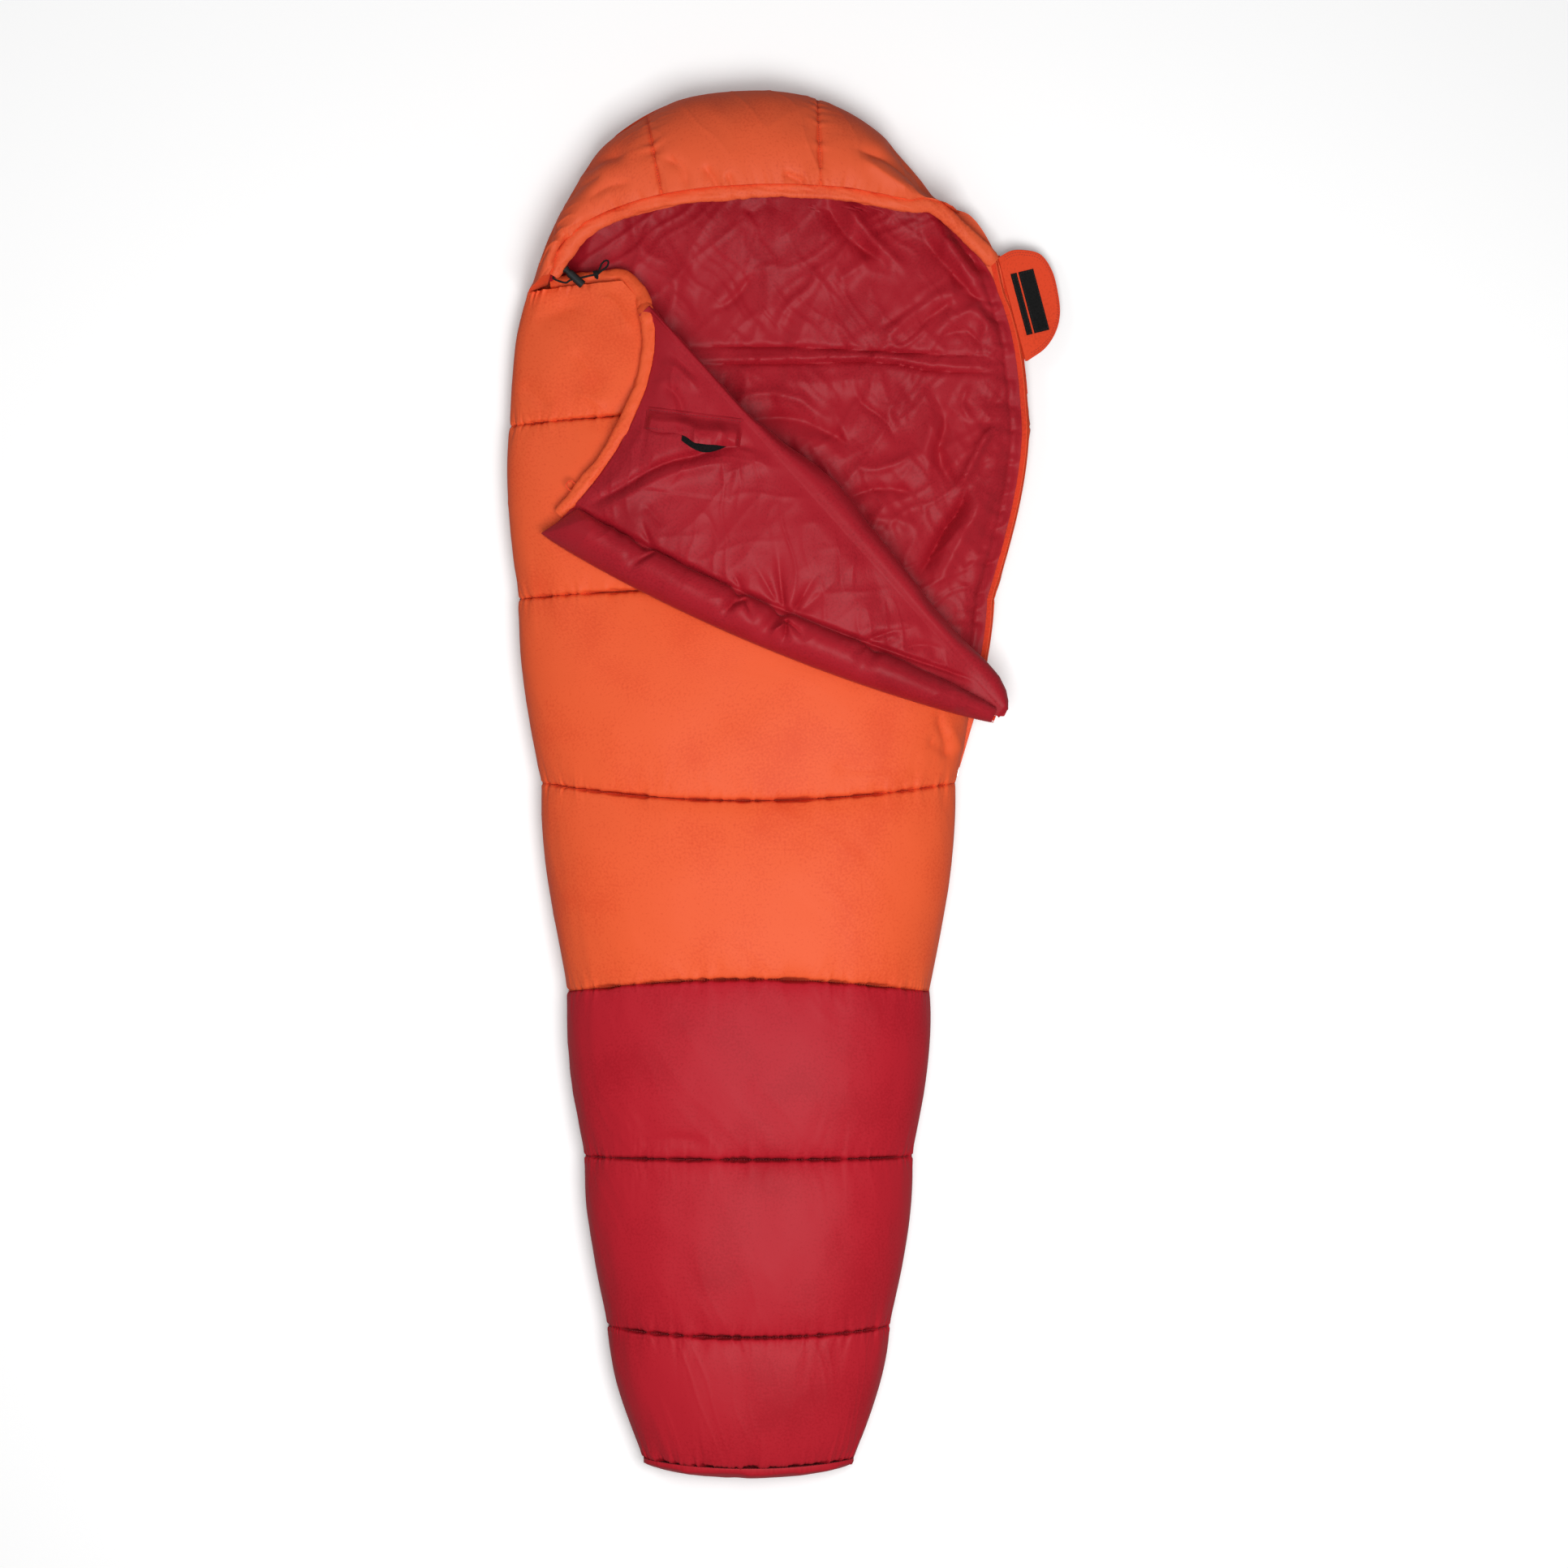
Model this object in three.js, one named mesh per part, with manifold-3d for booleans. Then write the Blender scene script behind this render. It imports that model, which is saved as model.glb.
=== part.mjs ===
// A mummy sleeping bag that lies on its back, with its front corner folded open.
// Millimetres, +Z up, the hood towards +Y and the zip on the +X side.
import * as THREE from 'three';
import { mergeVertices } from 'three/addons/utils/BufferGeometryUtils.js';
import Module from 'manifold-3d';

const wasm = await Module();
wasm.setup();

// Levels of the cross seams along the bag, from the neck to the foot
const neckY = 762;
const chestY = 555;
const waistY = 287;
const hipY = 2;
const thighY = -320;
const kneeY = -575;
const shinY = -838;
const footY = -1044;

// Half widths of the bag at those seams, from its middle line
const neckHalf = 340;
const chestHalf = 369;
const waistHalf = 356;
const hipHalf = 320;
const thighHalf = 280;
const kneeHalf = 253;
const shinHalf = 218;
const footHalf = 163;

// How much wider than the front the opened back lies on the zip side
const neckSpread = 58;
const chestSpread = 66;
const waistSpread = 25;

// Height of the front's crown above the floor at those seams
const neckCrown = 104;
const chestCrown = 128;
const waistCrown = 146;
const hipCrown = 166;
const thighCrown = 176;
const kneeCrown = 174;
const shinCrown = 162;
const footCrown = 126;

// How far each seam's middle bows towards the hood, or towards the foot
const neckBow = 22;
const chestBow = 19;
const waistBow = 15;
const hipBow = -27;
const thighBow = 21;
const kneeBow = -1;
const shinBow = -12;
const footBow = -11;

// Fill and sewing
const seamLevel = 42; // height of the side seams above the floor
const loft = 44; // thickness of a front chamber at its crown
const sideWall = 36; // width of a chamber where it meets the side seam
const sewnEdge = 12; // thickness of a pad's sewn rim
const seamDip = 17; // depth of the groove at a cross seam
const sideBulge = 10; // how far a chamber stands out past the line of its seams
const backCrown = 8; // rise of the back pad's middle
const backRise = 9; // how far the back's cross seams lift off the floor
const floorCut = 1.6; // flat that the bag's weight presses into its underside
const seamGap = 0.3; // between pieces that touch
const linerThick = 1.5;
const domePower = 2.4;
const footBulge = 13; // how far the end cap stands out
const bulgeSkew = 0.8;

// Hood
const hoodTopY = 1075;
const hoodShoulderY = 1008; // where the crown's curve starts on each side
const hoodShoulderHalf = 205;
const hoodCheekY = 898;
const hoodCheekHalf = 300;
const hoodSeamHalf = 152;
const faceTopY = 921; // edge of the hood over the face, at its middle
const faceSideY = 903;
const faceLeftY = 790;
const faceLeftHalf = 310;
const faceLeftTopY = 862;
const faceLeftTopHalf = 258;
const hoodCrownHeight = 150;
const hoodLeftHeight = 104;
const hoodRightHeight = 92;
const hoodPuff = 12;
const hoodWall = 30;
const crownPower = 2.4;

// Fold line across the front
const foldStartX = -156;
const foldStartY = 734;
const foldEndX = 395;
const foldEndY = 118;
const foldRadius = 27;
const foldHeight = 122; // height of the line that the corner turns about
const cornerLevel = 92; // the lowest the turned-back corner hangs
const restGap = 4; // between the turned-back corner and what it lies on
const linerMargin = 5.5; // from the back liner's edge to the foot of the side wall

// Turned-back corner: distances along the fold line, and out from it
const tipAlong = 148;
const tipOut = 354;
const footCornerAlong = 841;
const footCornerOut = 20;
const foldLength = 822; // of the side that turns
const zipEdgeBow = 34; // how far the zip edge bows out past a straight line
const chestEdgeBow = 60;
const flapLoft = 30;
const flapEdge = 11;

// Draft tube and channels
const tubeWide = 66;
const tubeHigh = 36;
const channelRadius = 8;
const cordRadius = 1.5;
const tipShare = 0.965; // where the chest edge meets the zip edge's sewn line

// Zip
const tapeWide = 12;
const tapeThick = 1.2;
const coilRadius = 1.7;
const zipGrooveHigh = 26;
const zipGrooveDeep = 9;
const grooveOverrun = 60;
const closedTapeWide = 24;
const closedTapeThick = 1.3;
const chainWide = 6;
const chainThick = 2.4;
const sliderY = 45;
const sliderHalf = 327;
const sliderLong = 16;
const sliderWide = 12;
const sliderThick = 8;
const sliderPlate = 1.3;
const slideClear = 0.35;
const bailHigh = 5;
const bailThick = 1.8;
const bailWide = 3;
const pullerLong = 30;
const pullerWide = 8;
const pullerThick = 1.6;
const stopLong = 5;
const grooveLead = 70; // length of the groove past each end of the closed zip

// Hook-and-loop tab
const tabRootShare = 1 / 6; // of the hood's rim on the zip side
const tabLong = 168;
const tabDeep = 77;
const tabThick = 3;
const tabDroop = 15 * Math.PI / 180;
const tabLean = 14.9 * Math.PI / 180;
const tabStand = 3.6; // from the rim's line out to the line that the tab turns about
const tabLevel = 43.2;
const hemThick = 1.4;
const hemHigh = 11;
const hookThick = 1.6;
const hookLong = 98;
const hookWide = 25;
const hookWideOut = 34.5; // middle of the wide strip, out from the root
const hookNarrow = 10;
const hookNarrowOut = 14;
const hookMiddle = 80; // middle of both strips, along the root
const loopPatchFrom = 0.04; // shares of the zip edge
const loopPatchTo = 0.16;
const loopPatchWide = 28;

// Cord lock and cord
const lockReach = 34; // from the cord's exit to the lock, across and down the bag
const lockDrop = 4;
const cordTurn = 13 * Math.PI / 180; // the cord's direction in the lock
const lockTurn = -42 * Math.PI / 180; // the barrel's direction
const lockRadius = 6.5;
const lockLong = 28;
const lockWall = 1.5;
const lockFloor = 3;
const plungerStand = 6; // how far the plunger stands out of the barrel
const plungerTravel = 4;
const plungerCap = 3;
const cordPitch = 3.6; // between the cord's two strands
const cordHole = 2.1;
const strandBack = 27; // from the lock back to where the cord comes out
const strandOut = 34; // from the lock to the knot
const knotTube = 2.4;
const loopLong = 26;
const loopWide = 9;
const springRadius = 3.4;
const springWire = 0.8;

// Pocket: distances along the fold line, and out from it
const pocketAlong = 117.5; // opening edge, at the chest edge
const pocketOut = 126.6;
const pocketEndAlong = 258.8; // opening edge, at the fold
const pocketEndOut = 6;
const pocketInset = 14;
const pocketWide = 150;
const pocketDeep = 110;
const pocketStand = 11;
const pocketSheet = 1.5;
const pocketHem = 6;
const pocketHookDeep = 12;
const pocketHookShare = 0.6; // of the pocket's width
const pocketFlapDeep = 37;
const pocketFlapThick = 2;

// Small loop
const loopPlace = 0.763; // share of the chest edge
const loopBand = 1.4;
const loopBandWide = 6;
const loopReach = 16;
const loopWideOut = 14;

// Counts
const chamberRowCount = 4;
const archColumnCount = 12;
const slabColumnCount = 5;
const flapColumnCount = 12;
const flapRowCount = 15;
const edgeRowCount = 24;
const pinSideCount = 12;
const foldedCount = 3; // front chambers that end at the fold line

const bag = new THREE.Group();
const colours = {
  orangeShell: ['#e55a38', 0.42],
  redShell: ['#b32231', 0.42],
  hoodShell: ['#e2512f', 0.42],
  liner: ['#a62a34', 0.4],
  zipTape: ['#e8482a', 0.6],
  black: ['#1a1a1a', 0.6],
  hook: ['#141414', 0.9],
  metal: ['#b9bbbd', 0.3],
};

function addPiece(name, geometry, look, parent = bag) {
  const [color, roughness] = colours[look];
  const metalness = look === 'metal' ? 1 : 0;
  const material = new THREE.MeshStandardMaterial({ color, roughness, metalness });
  const mesh = new THREE.Mesh(geometry, material);
  mesh.name = name;
  parent.add(mesh);
  return mesh;
}

// Small helpers
const lerp = THREE.MathUtils.lerp;
const clamp = THREE.MathUtils.clamp;
const ease = THREE.MathUtils.smoothstep;
const point = (x, y, z) => new THREE.Vector3(x, y, z);
const puff = (v) => Math.sqrt(Math.max(0, Math.sin(Math.PI * clamp(v, 0, 1))));

const seams = [
  [neckY, neckHalf, neckSpread, neckSpread, neckCrown, neckBow, 0],
  [chestY, chestHalf, chestSpread, chestSpread, chestCrown, chestBow, backCrown],
  [waistY, waistHalf, waistSpread, 0, waistCrown, waistBow, backCrown],
  [hipY, hipHalf, 0, 0, hipCrown, hipBow, backCrown],
  [thighY, thighHalf, 0, 0, thighCrown, thighBow, backCrown],
  [kneeY, kneeHalf, 0, 0, kneeCrown, kneeBow, backCrown],
  [shinY, shinHalf, 0, 0, shinCrown, shinBow, backCrown],
  [footY, footHalf, 0, 0, footCrown, footBow, 0],
].map(([y, half, spread, lining, crown, bow, rise]) => ({ y, half, spread, lining, crown, bow, rise }));

// The bag's measures on a row of chamber i, v running from its upper to its lower seam
function rowOf(i, v) {
  const [a, b] = [seams[i], seams[i + 1]];
  const mix = (key) => lerp(a[key], b[key], v);
  const bulge = sideBulge * Math.sin(Math.PI * v ** bulgeSkew);
  return {
    y: mix('y'),
    inner: mix('half') - sideWall,
    half: mix('half') + bulge,
    right: mix('half') + mix('spread') + bulge,
    innerRight: mix('half') + mix('lining') - sideWall,
    crown: mix('crown'),
    bow: mix('bow'),
    rise: mix('rise'),
  };
}

function rowAt(y) {
  const last = seams.length - 2;
  const found = seams.findIndex((s, k) => k < last && y >= seams[k + 1].y);
  const i = found < 0 ? last : found;
  const v = (seams[i].y - y) / (seams[i].y - seams[i + 1].y);
  return rowOf(i, clamp(v, 0, 1));
}

// A closed solid between two surfaces over one grid
function padSolid(columns, rows, outer, inner) {
  const places = [];
  const faces = [];
  const width = columns + 1;
  for (const surface of [outer, inner]) {
    for (let r = 0; r <= rows; r += 1) {
      for (let c = 0; c <= columns; c += 1) {
        places.push(...surface(c / columns, r / rows).toArray());
      }
    }
  }
  const layer = width * (rows + 1);
  const quad = (a, b, c, d) => faces.push(a, b, c, a, c, d);
  for (let r = 0; r < rows; r += 1) {
    for (let c = 0; c < columns; c += 1) {
      const k = r * width + c;
      quad(k, k + 1, k + width + 1, k + width);
      quad(k + layer, k + layer + width, k + layer + width + 1, k + layer + 1);
    }
  }
  for (let c = 0; c < columns; c += 1) {
    const k = rows * width + c;
    quad(c + 1, c, c + layer, c + 1 + layer);
    quad(k + 1, k + 1 + layer, k + layer, k);
  }
  for (let r = 0; r < rows; r += 1) {
    const k = r * width;
    const e = k + columns;
    quad(k, k + width, k + width + layer, k + layer);
    quad(e, e + layer, e + width + layer, e + width);
  }
  return facingOut(places, faces);
}

function facingOut(places, faces) {
  const [a, b, c] = [new THREE.Vector3(), new THREE.Vector3(), new THREE.Vector3()];
  let volume = 0;
  for (let k = 0; k < faces.length; k += 3) {
    a.fromArray(places, faces[k] * 3);
    b.fromArray(places, faces[k + 1] * 3);
    c.fromArray(places, faces[k + 2] * 3);
    volume += a.dot(b.cross(c));
  }
  if (volume < 0) faces.reverse();
  const geometry = new THREE.BufferGeometry();
  geometry.setAttribute('position', new THREE.Float32BufferAttribute(places, 3));
  geometry.setIndex(faces);
  geometry.computeVertexNormals();
  return geometry;
}

// Joining and cutting
function toSolid(geometry) {
  const bare = geometry.clone();
  bare.deleteAttribute('normal');
  bare.deleteAttribute('uv');
  const merged = mergeVertices(bare);
  return new wasm.Manifold(new wasm.Mesh({
    numProp: 3,
    vertProperties: new Float32Array(merged.attributes.position.array),
    triVerts: new Uint32Array(merged.index.array),
  }));
}

function toGeometry(solid) {
  const mesh = solid.getMesh();
  const geometry = new THREE.BufferGeometry();
  geometry.setAttribute('position', new THREE.BufferAttribute(mesh.vertProperties, 3));
  geometry.setIndex(new THREE.BufferAttribute(mesh.triVerts, 1));
  geometry.computeVertexNormals();
  return geometry;
}

function cutBy(geometry, cutters) {
  return toGeometry(cutters.reduce((rest, cutter) => rest.subtract(toSolid(cutter)), toSolid(geometry)));
}

// A round tube along a curve, with a bore where one is given
function tubeAlong(curve, radius, steps, bore = 0, sides = 6) {
  const shape = new THREE.Shape();
  shape.absarc(0, 0, radius, 0, 2 * Math.PI);
  if (bore > 0) {
    const hole = new THREE.Path();
    hole.absarc(0, 0, bore, 0, 2 * Math.PI, true);
    shape.holes.push(hole);
  }
  return new THREE.ExtrudeGeometry(shape, {
    steps, extrudePath: curve, curveSegments: sides / 2, bevelEnabled: false,
  });
}

const smooth = (points) => new THREE.CatmullRomCurve3(points, false, 'centripetal');

// Fold line
const foldFrom = point(foldStartX, foldStartY, foldHeight);
const foldTo = point(foldEndX, foldEndY, foldHeight);
const foldSpan = foldFrom.distanceTo(foldTo);
const foldAlong = foldTo.clone().sub(foldFrom).normalize();
const foldOut = point(foldAlong.y, -foldAlong.x, 0);
const foldPoint = (s, d) => foldFrom.clone().addScaledVector(foldAlong, s).addScaledVector(foldOut, d);
const foldX = (y) => foldStartX + (foldStartY - y) * (foldEndX - foldStartX) / (foldStartY - foldEndY);

// Front surfaces
const dome = (share) => Math.max(0, 1 - Math.abs(share) ** domePower) ** (1 / domePower);

function frontTop(x, y) {
  const row = rowAt(y);
  return seamLevel + (row.crown - seamLevel) * dome(Math.min(1, Math.abs(x) / row.half));
}

function frontUnder(x, y) {
  const row = rowAt(y);
  const rise = Math.max(0, row.crown - loft - seamLevel);
  return seamLevel + rise * dome(Math.min(1, Math.abs(x) / row.inner));
}

// Angle at which a front row ends: at the fold line, or at the zip side
function endAngle(row, half) {
  let share = 1;
  for (let k = 0; k < 4; k += 1) {
    const y = row.y + row.bow * (1 - share * share);
    share = clamp((foldX(y) + seamGap / foldOut.x) / half, -1, 1);
  }
  return Math.acos(share);
}

// A point of front chamber i: on its outside, or on its underside and that far inside it
function frontPoint(i, u, v, under, gapEnds = true, inset = 0) {
  const row = rowOf(i, v);
  const half = under ? row.inner - inset : row.half;
  const angle = lerp(Math.PI, i < foldedCount ? endAngle(row, half + inset) : 0, u);
  const share = Math.cos(angle);
  const dip = under || i === 0 && v === 0 ? 0 : seamDip * (1 - puff(v));
  const high = under ? Math.max(seamLevel + loft / 4, row.crown - loft) - inset : row.crown - dip;
  const endGap = gapEnds && (v === 0 || v === 1) ? (v === 0 ? -seamGap / 2 : seamGap / 2) : 0;
  return point(
    half * share,
    row.y + row.bow * (1 - share * share) + endGap,
    seamLevel + seamGap / 2 + (high - seamLevel) * dome(share),
  );
}

function frontChamber(i) {
  return padSolid(
    archColumnCount,
    chamberRowCount,
    (u, v) => frontPoint(i, u, v, false),
    (u, v) => frontPoint(i, u, v, true),
  );
}

// Back pads: columns close together at the rims, with one where the side wall ends
function slabColumn(u, left, innerLeft, innerRight, right) {
  const rim = 3;
  const columns = slabColumnCount + 2 * rim;
  const k = Math.round(u * columns);
  if (k <= rim) return lerp(-left, -innerLeft + linerMargin, (k / rim) ** 2);
  if (k >= columns - rim) return lerp(right, innerRight - linerMargin, ((columns - k) / rim) ** 2);
  return lerp(-innerLeft + linerMargin, innerRight - linerMargin, (k - rim) / slabColumnCount);
}

const backColumns = slabColumnCount + 6;

function backPoint(i, u, v, under) {
  const row = rowOf(i, v);
  const x = slabColumn(u, row.half, row.inner, row.innerRight, row.right);
  const share = clamp(x < 0 ? x / row.half : x / row.right, -1, 1);
  const endGap = v === 0 ? -seamGap / 2 : v === 1 ? seamGap / 2 : 0;
  const y = row.y + row.bow * (1 - share * share) + endGap;
  const rimHigh = seamLevel - sewnEdge;
  const inside = clamp(Math.min(x + row.inner, row.innerRight - x) / row.inner - linerMargin / row.inner, 0, 1);
  if (!under) return point(x, y, seamLevel - seamGap / 2 + row.rise * ease(inside, 0, 1 / 2));
  const belly = rimHigh * (1 - Math.max(0, 1 - Math.abs(share) ** 8) ** (1 / 4));
  const lift = backRise * (1 - puff(v)) * (1 - share * share);
  return point(x, y, Math.max(0, Math.max(belly, lift) - floorCut));
}

function backChamber(i) {
  return padSolid(
    backColumns,
    chamberRowCount,
    (u, v) => backPoint(i, u, v, false),
    (u, v) => backPoint(i, u, v, true),
  );
}

// A patch between four edge curves: near and far run with u, left and right with v
function patch(near, far, left, right) {
  return (u, v) => {
    const across = near(u).clone().lerp(far(u), v);
    const along = left(v).clone().lerp(right(v), u);
    const corners = near(0).clone().lerp(near(1), u).lerp(far(0).clone().lerp(far(1), u), v);
    return across.add(along).sub(corners);
  };
}

const onCurve = (curve) => (t) => curve.getPointAt(clamp(t, 0, 1));

// Hood outline on the floor plan
const rimLeft = smooth([
  point(-neckHalf, neckY, 0),
  point(-lerp(neckHalf, hoodCheekHalf, 0.7), lerp(neckY, hoodCheekY, 0.6), 0),
  point(-lerp(hoodCheekHalf, hoodShoulderHalf, 0.2), lerp(hoodCheekY, hoodShoulderY, 0.07), 0),
  point(-lerp(hoodCheekHalf, hoodShoulderHalf, 0.66), lerp(hoodCheekY, hoodShoulderY, 0.7), 0),
  point(-hoodShoulderHalf, hoodShoulderY, 0),
]);
const neckRight = neckHalf + neckSpread;
const rimRight = smooth([
  point(neckRight, neckY, 0),
  point(lerp(neckRight, hoodCheekHalf, 0.13), lerp(neckY, hoodCheekY, 0.4), 0),
  point(lerp(neckRight, hoodCheekHalf, 0.56), lerp(neckY, hoodCheekY, 0.89), 0),
  point(hoodCheekHalf, hoodCheekY, 0),
  point(lerp(hoodCheekHalf, hoodShoulderHalf, 0.4), lerp(hoodCheekY, hoodShoulderY, 0.41), 0),
  point(hoodShoulderHalf, hoodShoulderY, 0),
]);

function rimCrown(u) {
  const share = 2 * u - 1;
  const bend = (hoodTopY - hoodShoulderY) * Math.abs(share) ** crownPower;
  return point(hoodShoulderHalf * share, hoodTopY - bend, 0);
}

function neckLine(u) {
  const x = slabColumn(u, neckHalf, neckHalf - sideWall, neckRight - sideWall, neckRight);
  const share = clamp(x < 0 ? x / neckHalf : x / neckRight, -1, 1);
  return point(x, neckY + neckBow * (1 - share * share) + seamGap / 2, 0);
}

const hoodPlan = patch(neckLine, rimCrown, onCurve(rimLeft), onCurve(rimRight));

function hoodBackPoint(u, v, under) {
  const place = hoodPlan(u, v);
  if (!under) return place.setZ(seamLevel - seamGap / 2);
  const edge = 1 - (1 - Math.abs(2 * u - 1) ** 6) * (1 - v ** 6);
  const lift = backRise * (1 - puff(lerp(1 / 2, 1, 1 - Math.min(1, 3 * v)))) * (1 - edge);
  return place.setZ(Math.max(0, Math.max((seamLevel - sewnEdge) * edge ** 2, lift) - floorCut));
}

// Hood panels rise from the rim to the edge over the face
const rimWhole = smooth([
  ...rimLeft.getPoints(8).slice(0, -1),
  ...[0.2, 0.35, 0.5, 0.65, 0.8].map(rimCrown),
  ...rimRight.getPoints(8).slice(3).reverse(),
]);
const faceEdge = smooth([
  point(-faceLeftHalf, faceLeftY, hoodLeftHeight),
  point(-lerp(faceLeftHalf, faceLeftTopHalf, 0.5), lerp(faceLeftY, faceLeftTopY, 0.6), hoodLeftHeight),
  point(-faceLeftTopHalf, faceLeftTopY, lerp(hoodLeftHeight, hoodCrownHeight, 0.2)),
  point(-hoodSeamHalf, faceSideY, lerp(hoodLeftHeight, hoodCrownHeight, 0.75)),
  point(0, faceTopY, hoodCrownHeight),
  point(hoodSeamHalf, faceSideY + (faceTopY - faceSideY) * 0.8, lerp(hoodRightHeight, hoodCrownHeight, 0.8)),
  point(lerp(hoodSeamHalf, hoodCheekHalf, 0.6), faceSideY, lerp(hoodRightHeight, hoodCrownHeight, 0.4)),
  point(hoodCheekHalf - restGap, hoodCheekY + restGap, hoodRightHeight),
]);
const hoodCentre = point(0, lerp(neckY, hoodTopY, 0.4), 0);
const hoodSeamShares = [0, 0.365, 0.66, 0.97];
const faceSeamShares = [0, 0.34, 0.71, 1];

function drawnIn(place, by) {
  const out = place.clone().sub(hoodCentre).setZ(0);
  const far = out.length();
  return place.clone().addScaledVector(out, -by / far);
}

function hoodPoint(panel, u, v, depth) {
  const rimShare = lerp(hoodSeamShares[panel], hoodSeamShares[panel + 1], u);
  const faceShare = lerp(faceSeamShares[panel], faceSeamShares[panel + 1], u);
  const rim = rimWhole.getPointAt(rimShare);
  const face = faceEdge.getPointAt(faceShare);
  const wide = Math.hypot(rim.x - face.x, rim.y - face.y);
  const steep = 1 - ease(wide, 0, 2 * hoodWall);
  const low = depth > 0 ? drawnIn(rim, hoodWall + depth - loft / 2) : rim;
  const high = depth > 0 ? drawnIn(face, depth * steep) : face;
  const rise = Math.sin(v * Math.PI / 2);
  const run = 1 - Math.cos(v * Math.PI / 2);
  const drop = depth * (1 - steep);
  const base = seamLevel + seamGap / 2;
  const swell = depth > 0 ? 0 : hoodPuff * puff(u) * Math.sin(Math.PI * Math.min(1, v * 0.9));
  const place = low.clone().lerp(high, run);
  return place.setZ(base + (high.z - drop - base) * rise + swell);
}

function hoodPanel(panel) {
  const trim = (u) => clamp(u, 0.0015, 0.9985);
  return padSolid(
    8,
    5,
    (u, v) => hoodPoint(panel, trim(u), v, 0),
    (u, v) => hoodPoint(panel, trim(u), v, loft / 2),
  );
}

// Body of the bag
seams.slice(0, -1).forEach((seam, i) => {
  addPiece(`back_chamber_${i + 1}`, backChamber(i), i < 4 ? 'orangeShell' : 'redShell');
  addPiece(`front_chamber_${i + 1}`, frontChamber(i), i < 4 ? 'orangeShell' : 'redShell');
});
addPiece('hood_back_pad', padSolid(
  backColumns,
  6,
  (u, v) => hoodBackPoint(u, v, false),
  (u, v) => hoodBackPoint(u, v, true),
), 'hoodShell');
['hood_left_panel', 'hood_centre_panel', 'hood_right_panel'].forEach((name, panel) => {
  addPiece(name, hoodPanel(panel), 'hoodShell');
});


// End cap over the foot
function footPoint(u, v, outside) {
  const share = -Math.cos(Math.PI * u);
  const round = Math.sqrt(Math.max(0, 1 - share * share));
  const belly = backPoint(6, u, 1, true).z;
  const low = lerp(seamLevel - sewnEdge, belly, Math.min(1, 2 * round));
  const high = seamLevel + (footCrown - seamDip - seamLevel) * dome(share);
  const swell = outside ? sewnEdge / 2 + footBulge * puff(v) * round : 0;
  const y = footY + footBow * (1 - share * share) - seamGap / 2 - swell;
  return point(footHalf * share, y, lerp(low, high, v));
}
addPiece('foot_end_cap', padSolid(
  10,
  5,
  (u, v) => footPoint(u, v, true),
  (u, v) => footPoint(u, v, false),
), 'redShell');

// Liner over the back: rows of the hood pad, then of each chamber
const upTo = (count, from = 0) => Array.from({ length: count - from + 1 }, (_, k) => k + from);
const linerRows = [
  ...[4, 3, 2, 1, 0].map((k) => ({ hood: true, v: k / 6 })),
  ...upTo(6).flatMap((i) => upTo(chamberRowCount, 1).map((k) => ({ i, v: k / chamberRowCount }))),
];

function linerBackPoint(c, r, lift) {
  const { hood, i, v } = linerRows[r];
  const last = slabColumnCount + 1;
  const u = (Math.min(c, slabColumnCount) + 3) / backColumns;
  const place = hood ? hoodBackPoint(lerp(u, 1 / 2, v / 5), v, false) : backPoint(i, u, v, false);
  const open = hood ? Number(v < 1 / 5) : i < 2 ? 1 : i === 2 ? 1 - ease(v, 0, 1 / 4) : 0;
  if (c === last) place.x += lerp(restGap / 4, sideWall - tapeWide, open);
  return place.setZ((c === last ? seamLevel - seamGap / 2 : place.z) + seamGap + lift);
}

const linerBackSurface = (lift) => (u, v) => {
  const c = Math.round(u * (slabColumnCount + 1));
  const r = Math.round(v * (linerRows.length - 1));
  return linerBackPoint(c, r, lift);
};
addPiece('back_liner', padSolid(
  slabColumnCount + 1,
  linerRows.length - 1,
  linerBackSurface(linerThick),
  linerBackSurface(0),
), 'liner');

// Liner under the front
const frontRows = [
  { i: 0, v: 0 },
  ...upTo(6).flatMap((i) => upTo(chamberRowCount, 1).map((k) => ({ i, v: k / chamberRowCount }))),
];

const linerFrontSurface = (inset) => (u, v) => {
  const { i, v: share } = frontRows[Math.round(v * (frontRows.length - 1))];
  return frontPoint(i, u, share, true, false, inset);
};
addPiece('front_liner', padSolid(
  archColumnCount,
  frontRows.length - 1,
  linerFrontSurface(4 * seamGap),
  linerFrontSurface(4 * seamGap + linerThick),
), 'liner');

// Liner of the hood
const linerHoodSurface = (depth) => (u, v) => {
  const panel = Math.min(2, Math.floor(u * 3));
  return hoodPoint(panel, u * 3 - panel, v, depth);
};
addPiece('hood_liner', padSolid(
  24,
  5,
  linerHoodSurface(loft / 2 + 2 * seamGap),
  linerHoodSurface(loft / 2 + 2 * seamGap + linerThick),
), 'liner');

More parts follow.
